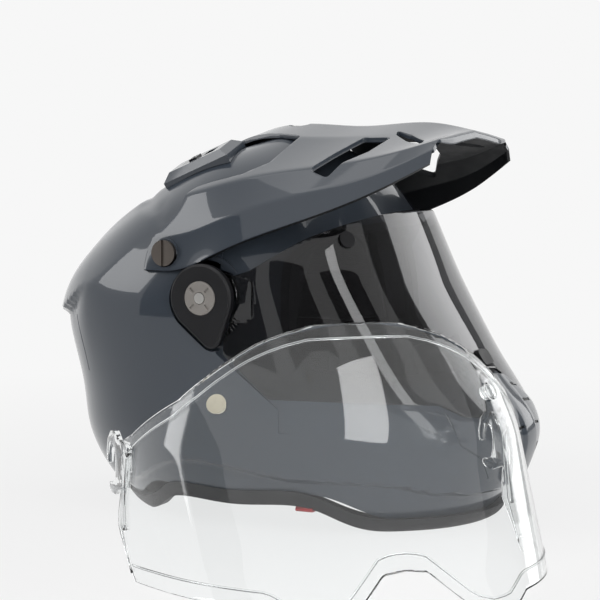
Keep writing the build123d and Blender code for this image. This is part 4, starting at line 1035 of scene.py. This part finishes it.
def facing(obj, direction):
    """Turns an open sheet's faces to one side."""
    total = Vector()
    for face in obj.data.polygons:
        total += face.normal * face.area
    if total.dot(Vector(direction)) < 0:
        edit_all(obj, (bpy.ops.mesh.flip_normals, {}))
    return obj


CHIN_PLATE = ((0, 98.8), (13.4, 97.2), (38.4, 75.4), (32.6, 53.3), (21.8, 45.5), (17.9, 28.6),
              (0, 24.7))


class HELMET_OT_chin(bpy.types.Operator):
    """Model the faceted plate over the chin vent, with its narrow openings"""
    bl_idname = "helmet.chin"
    bl_label = "Chin Vent Plate"

    def layer(self, name, thickness):
        def place(u, v):
            x, y, z = egg(0.36 + 0.28 * u, 16 + 92 * v, -5.6)
            step = 1.2 * (1 - ease(np.abs(x) + np.maximum(z - 62, 0) * 0.12, 11, 14))
            return x, y - step, z
        sheet = facing(pulled_grid(name, 96, 64, place), (0, -1, 0))
        return thickened(sheet, thickness)

    def execute(self, context):
        outline = rounded(both_sides(CHIN_PLATE), 2.5)
        plate = combine(self.layer("chin_vent_plate", 2.4),
                        prism("plate_cutter", outline, "Y", -260, -110), "INTERSECT")
        ring = prism("ring", outline, "Y", -260, -110)
        inner = [(a * 0.93, 62 + (b - 62) * 0.93) for a, b in outline]
        combine(ring, prism("ring_cutter", inner, "Y", -270, -100))
        wall = combine(self.layer("plate_wall", 6.8), ring, "INTERSECT")
        combine(plate, wall, "UNION")
        for side in (1, -1):
            for x, z, length in ((17, 91, 11), (20, 80.6, 17), (18, 66, 15)):
                slot = [(side * (x - length / 2), z - 0.9), (side * (x + length / 2), z - 2.6),
                        (side * (x + length / 2), z - 0.9), (side * (x - length / 2), z + 0.9)]
                combine(plate, prism("slot_cutter", slot, "Y", -240, -100))
        soften_edges(clean(plate, 0.01), 0.5, 40)
        smooth(plate, 28)
        coat(plate, "paint")
        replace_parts(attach(plate, "helmet"), "chin_vent_housing")
        return {"FINISHED"}


def swollen(pad, pressure, cap):
    """Blows a closed pad up like a stuffed cushion, each point by no more than cap millimetres."""
    scene = bpy.context.scene
    start = points(pad)
    cloth = pad.modifiers.new("Cloth", "CLOTH")
    cloth.settings.quality = 4
    cloth.settings.mass = 0.3
    cloth.settings.tension_stiffness = cloth.settings.compression_stiffness = 15
    cloth.settings.bending_stiffness = 0.5
    cloth.settings.use_pressure = True
    cloth.settings.uniform_pressure_force = pressure
    cloth.settings.effector_weights.gravity = 0
    cloth.point_cache.frame_start, cloth.point_cache.frame_end = 1, CLOTH_FRAMES
    for number in range(1, CLOTH_FRAMES + 1):
        scene.frame_set(number)
    found = pad.evaluated_get(bpy.context.evaluated_depsgraph_get())
    end = np.zeros(len(start) * 3)
    found.data.vertices.foreach_get("co", end)
    pad.modifiers.remove(cloth)
    scene.frame_set(1)
    move = end.reshape(-1, 3) - start
    length = np.maximum(np.linalg.norm(move, axis=1), 1e-9)
    set_points(pad, start + move * np.minimum(1, cap * MM / length)[:, None])


def cushion(name, node, channel, cap=5.0, colour="fabric"):
    """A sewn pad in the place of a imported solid; channel gives its seams' depth in millimetres."""
    pad = copied(node, name)
    set_points(pad, points(pad) - normals_of(pad) * MM)
    add_modifier(pad, "REMESH", mode="VOXEL", voxel_size=4 * MM, adaptivity=0.0)
    apply_all(pad)
    swollen(pad, 4.0, cap)
    add_modifier(pad, "SUBSURF", levels=1, render_levels=1)
    apply_all(pad)
    co = points(pad)
    set_points(pad, co - normals_of(pad) * channel(*(co / MM).T)[:, None] * MM)
    smooth(pad, 60)
    coat(pad, colour)
    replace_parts(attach(pad, "helmet"), node)
    return pad


def valley(x, middle, width=2.2):
    return np.exp(-((x - middle) / width) ** 2)


class HELMET_OT_padding(bpy.types.Operator):
    """Sew the comfort padding: crown liner, cheek pads and neck roll"""
    bl_idname = "helmet.padding"
    bl_label = "Padding"

    def execute(self, context):
        cushion("quilted_crown_liner", "crown_liner", lambda x, y, z: 2.2 * sum(
            valley(np.abs(x), middle) for middle in (0, 21.8, 43.5)), 3.0)
        for side in ("left", "right"):
            cushion("sewn_cheek_pad_" + side, "cheek_pad_" + side, lambda x, y, z: 2.4 * (
                valley(y, -67.3) + valley(y, -41.1)), 5.0)
        cushion("stuffed_neck_roll", "neck_roll", lambda x, y, z: 1.8 * valley(z, 38, 1.8)
                + 1.2 * valley(np.abs(x), 60) + 1.2 * valley(x, 0), 5.0)
        return {"FINISHED"}


def eased_line(spots, reach, step=2.0):
    """A line of straight runs with its corners drawn in by a reach."""
    spots = [np.array(p, float) for p in spots]
    line = [spots[0]]
    for before, corner, after in zip(spots, spots[1:], spots[2:]):
        one, two = before - corner, after - corner
        near = min(reach, np.linalg.norm(one) * 0.45, np.linalg.norm(two) * 0.45)
        one, two = one / np.linalg.norm(one) * near, two / np.linalg.norm(two) * near
        for t in np.linspace(0, 1, 9):
            line.append(corner + one * (1 - t) ** 2 + two * t ** 2)
    return stretched(line + [spots[-1]], step)


def webbing(name, line, middle, width, thickness, node, colour):
    """A flat strap: a line in front view, run across its width along y."""
    across = 9

    def place(u, v):
        where = v * (len(line) - 1)
        x = np.interp(where, np.arange(len(line)), line[:, 0])
        z = np.interp(where, np.arange(len(line)), line[:, 1])
        return x, middle + (u - 0.5) * width, z
    strap = pulled_grid(name, across, len(line) - 1, place)
    thickened(strap, thickness, 0)
    soften_edges(clean(strap, 0.001), thickness * 0.35, 50)
    smooth(strap, 50)
    coat(strap, colour)
    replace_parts(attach(strap, "helmet"), node)
    return strap


class HELMET_OT_webbing(bpy.types.Operator):
    """Weave the chin straps, the red pull tabs and the chin curtain"""
    bl_idname = "helmet.webbing"
    bl_label = "Straps and Curtain"

    def execute(self, context):
        for (side, sign), end in zip(SIDES, (21.0, 36.0)):
            line = eased_line([(sign * 102.9, 60.1), (sign * 102.9, 36.1), (sign * 64.4, 16.12),
                               (sign * end, 16.12)], 14)
            webbing("woven_chin_strap_" + side, line, 14.96, 22, 1.6, "chin_strap_" + side,
                    "webbing")
            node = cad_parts["pull_tab_" + side]
            co = np.array([tuple(v.co) for v in node.data.vertices]) / MM
            low, high = co[:, 2].min() + 0.7, co[:, 2].max()
            outer = np.abs(co[:, 0])
            top = outer[co[:, 2] > high - 0.5].max() - 0.7
            foot = outer[co[:, 2] < co[:, 2].min() + 0.5].max() - 0.7
            inner = outer.min() + 0.7
            line = eased_line([(sign * top, high), (sign * foot, low), (sign * inner, low),
                               (sign * inner, high)], 3, 0.8)
            webbing("red_pull_tab_" + side, line, (co[:, 1].min() + co[:, 1].max()) / 2, 12, 1.2,
                    "pull_tab_" + side, "red")

        low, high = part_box("chin_curtain")
        level_z = 12.75
        inset = FRONT + low.y / MM / float(level(np.array(level_z), 0.0)[1] / FRONT)
        rear = high.y / MM
        turns = np.linspace(0.25, 0.5, 400)
        x, y, z = egg(turns, np.full(400, level_z), inset)
        first = float(turns[np.argmax(y < rear)])

        def place(u, v):
            turn = first + (1 - 2 * first) * u
            x, y, z = egg(turn, np.full_like(u, level_z), inset)
            edge = rear + (y - rear) * v
            sag = 1.2 * np.sin(math.pi * v) * np.sin(math.pi * u)
            return x, edge, z - sag
        curtain = facing(pulled_grid("hemmed_chin_curtain", 60, 20, place), (0, 0, -1))
        thickened(curtain, 1.2, 0)
        smooth(clean(curtain, 0.001), 50)
        coat(curtain, "fabric")
        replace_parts(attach(curtain, "helmet"), "chin_curtain")
        return {"FINISHED"}


class HELMET_PT_panel(bpy.types.Panel):
    """Steps that dress the helmet"""
    bl_idname = "HELMET_PT_panel"
    bl_label = "Helmet"
    bl_space_type = "VIEW_3D"
    bl_region_type = "UI"
    bl_category = "Helmet"

    def draw(self, context):
        for name in HelmetSettings.__annotations__:
            self.layout.prop(context.scene.helmet_settings, name)
        for step in STEPS:
            self.layout.operator(step.bl_idname)


STEPS = (HELMET_OT_stage, HELMET_OT_coat_parts, HELMET_OT_shell, HELMET_OT_peak, HELMET_OT_panes,
         HELMET_OT_chin, HELMET_OT_padding, HELMET_OT_webbing)
CLASSES = (HelmetSettings, *STEPS, HELMET_PT_panel)


def register():
    for item in CLASSES:
        bpy.utils.register_class(item)
    bpy.types.Scene.helmet_settings = bpy.props.PointerProperty(type=HelmetSettings)


def unregister():
    del bpy.types.Scene.helmet_settings
    for item in reversed(CLASSES):
        bpy.utils.unregister_class(item)


def main():
    register()
    deselect()
    for step in STEPS:
        group, name = step.bl_idname.split(".")
        getattr(getattr(bpy.ops, group), name)()
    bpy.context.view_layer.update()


if __name__ == "__main__":
    main()
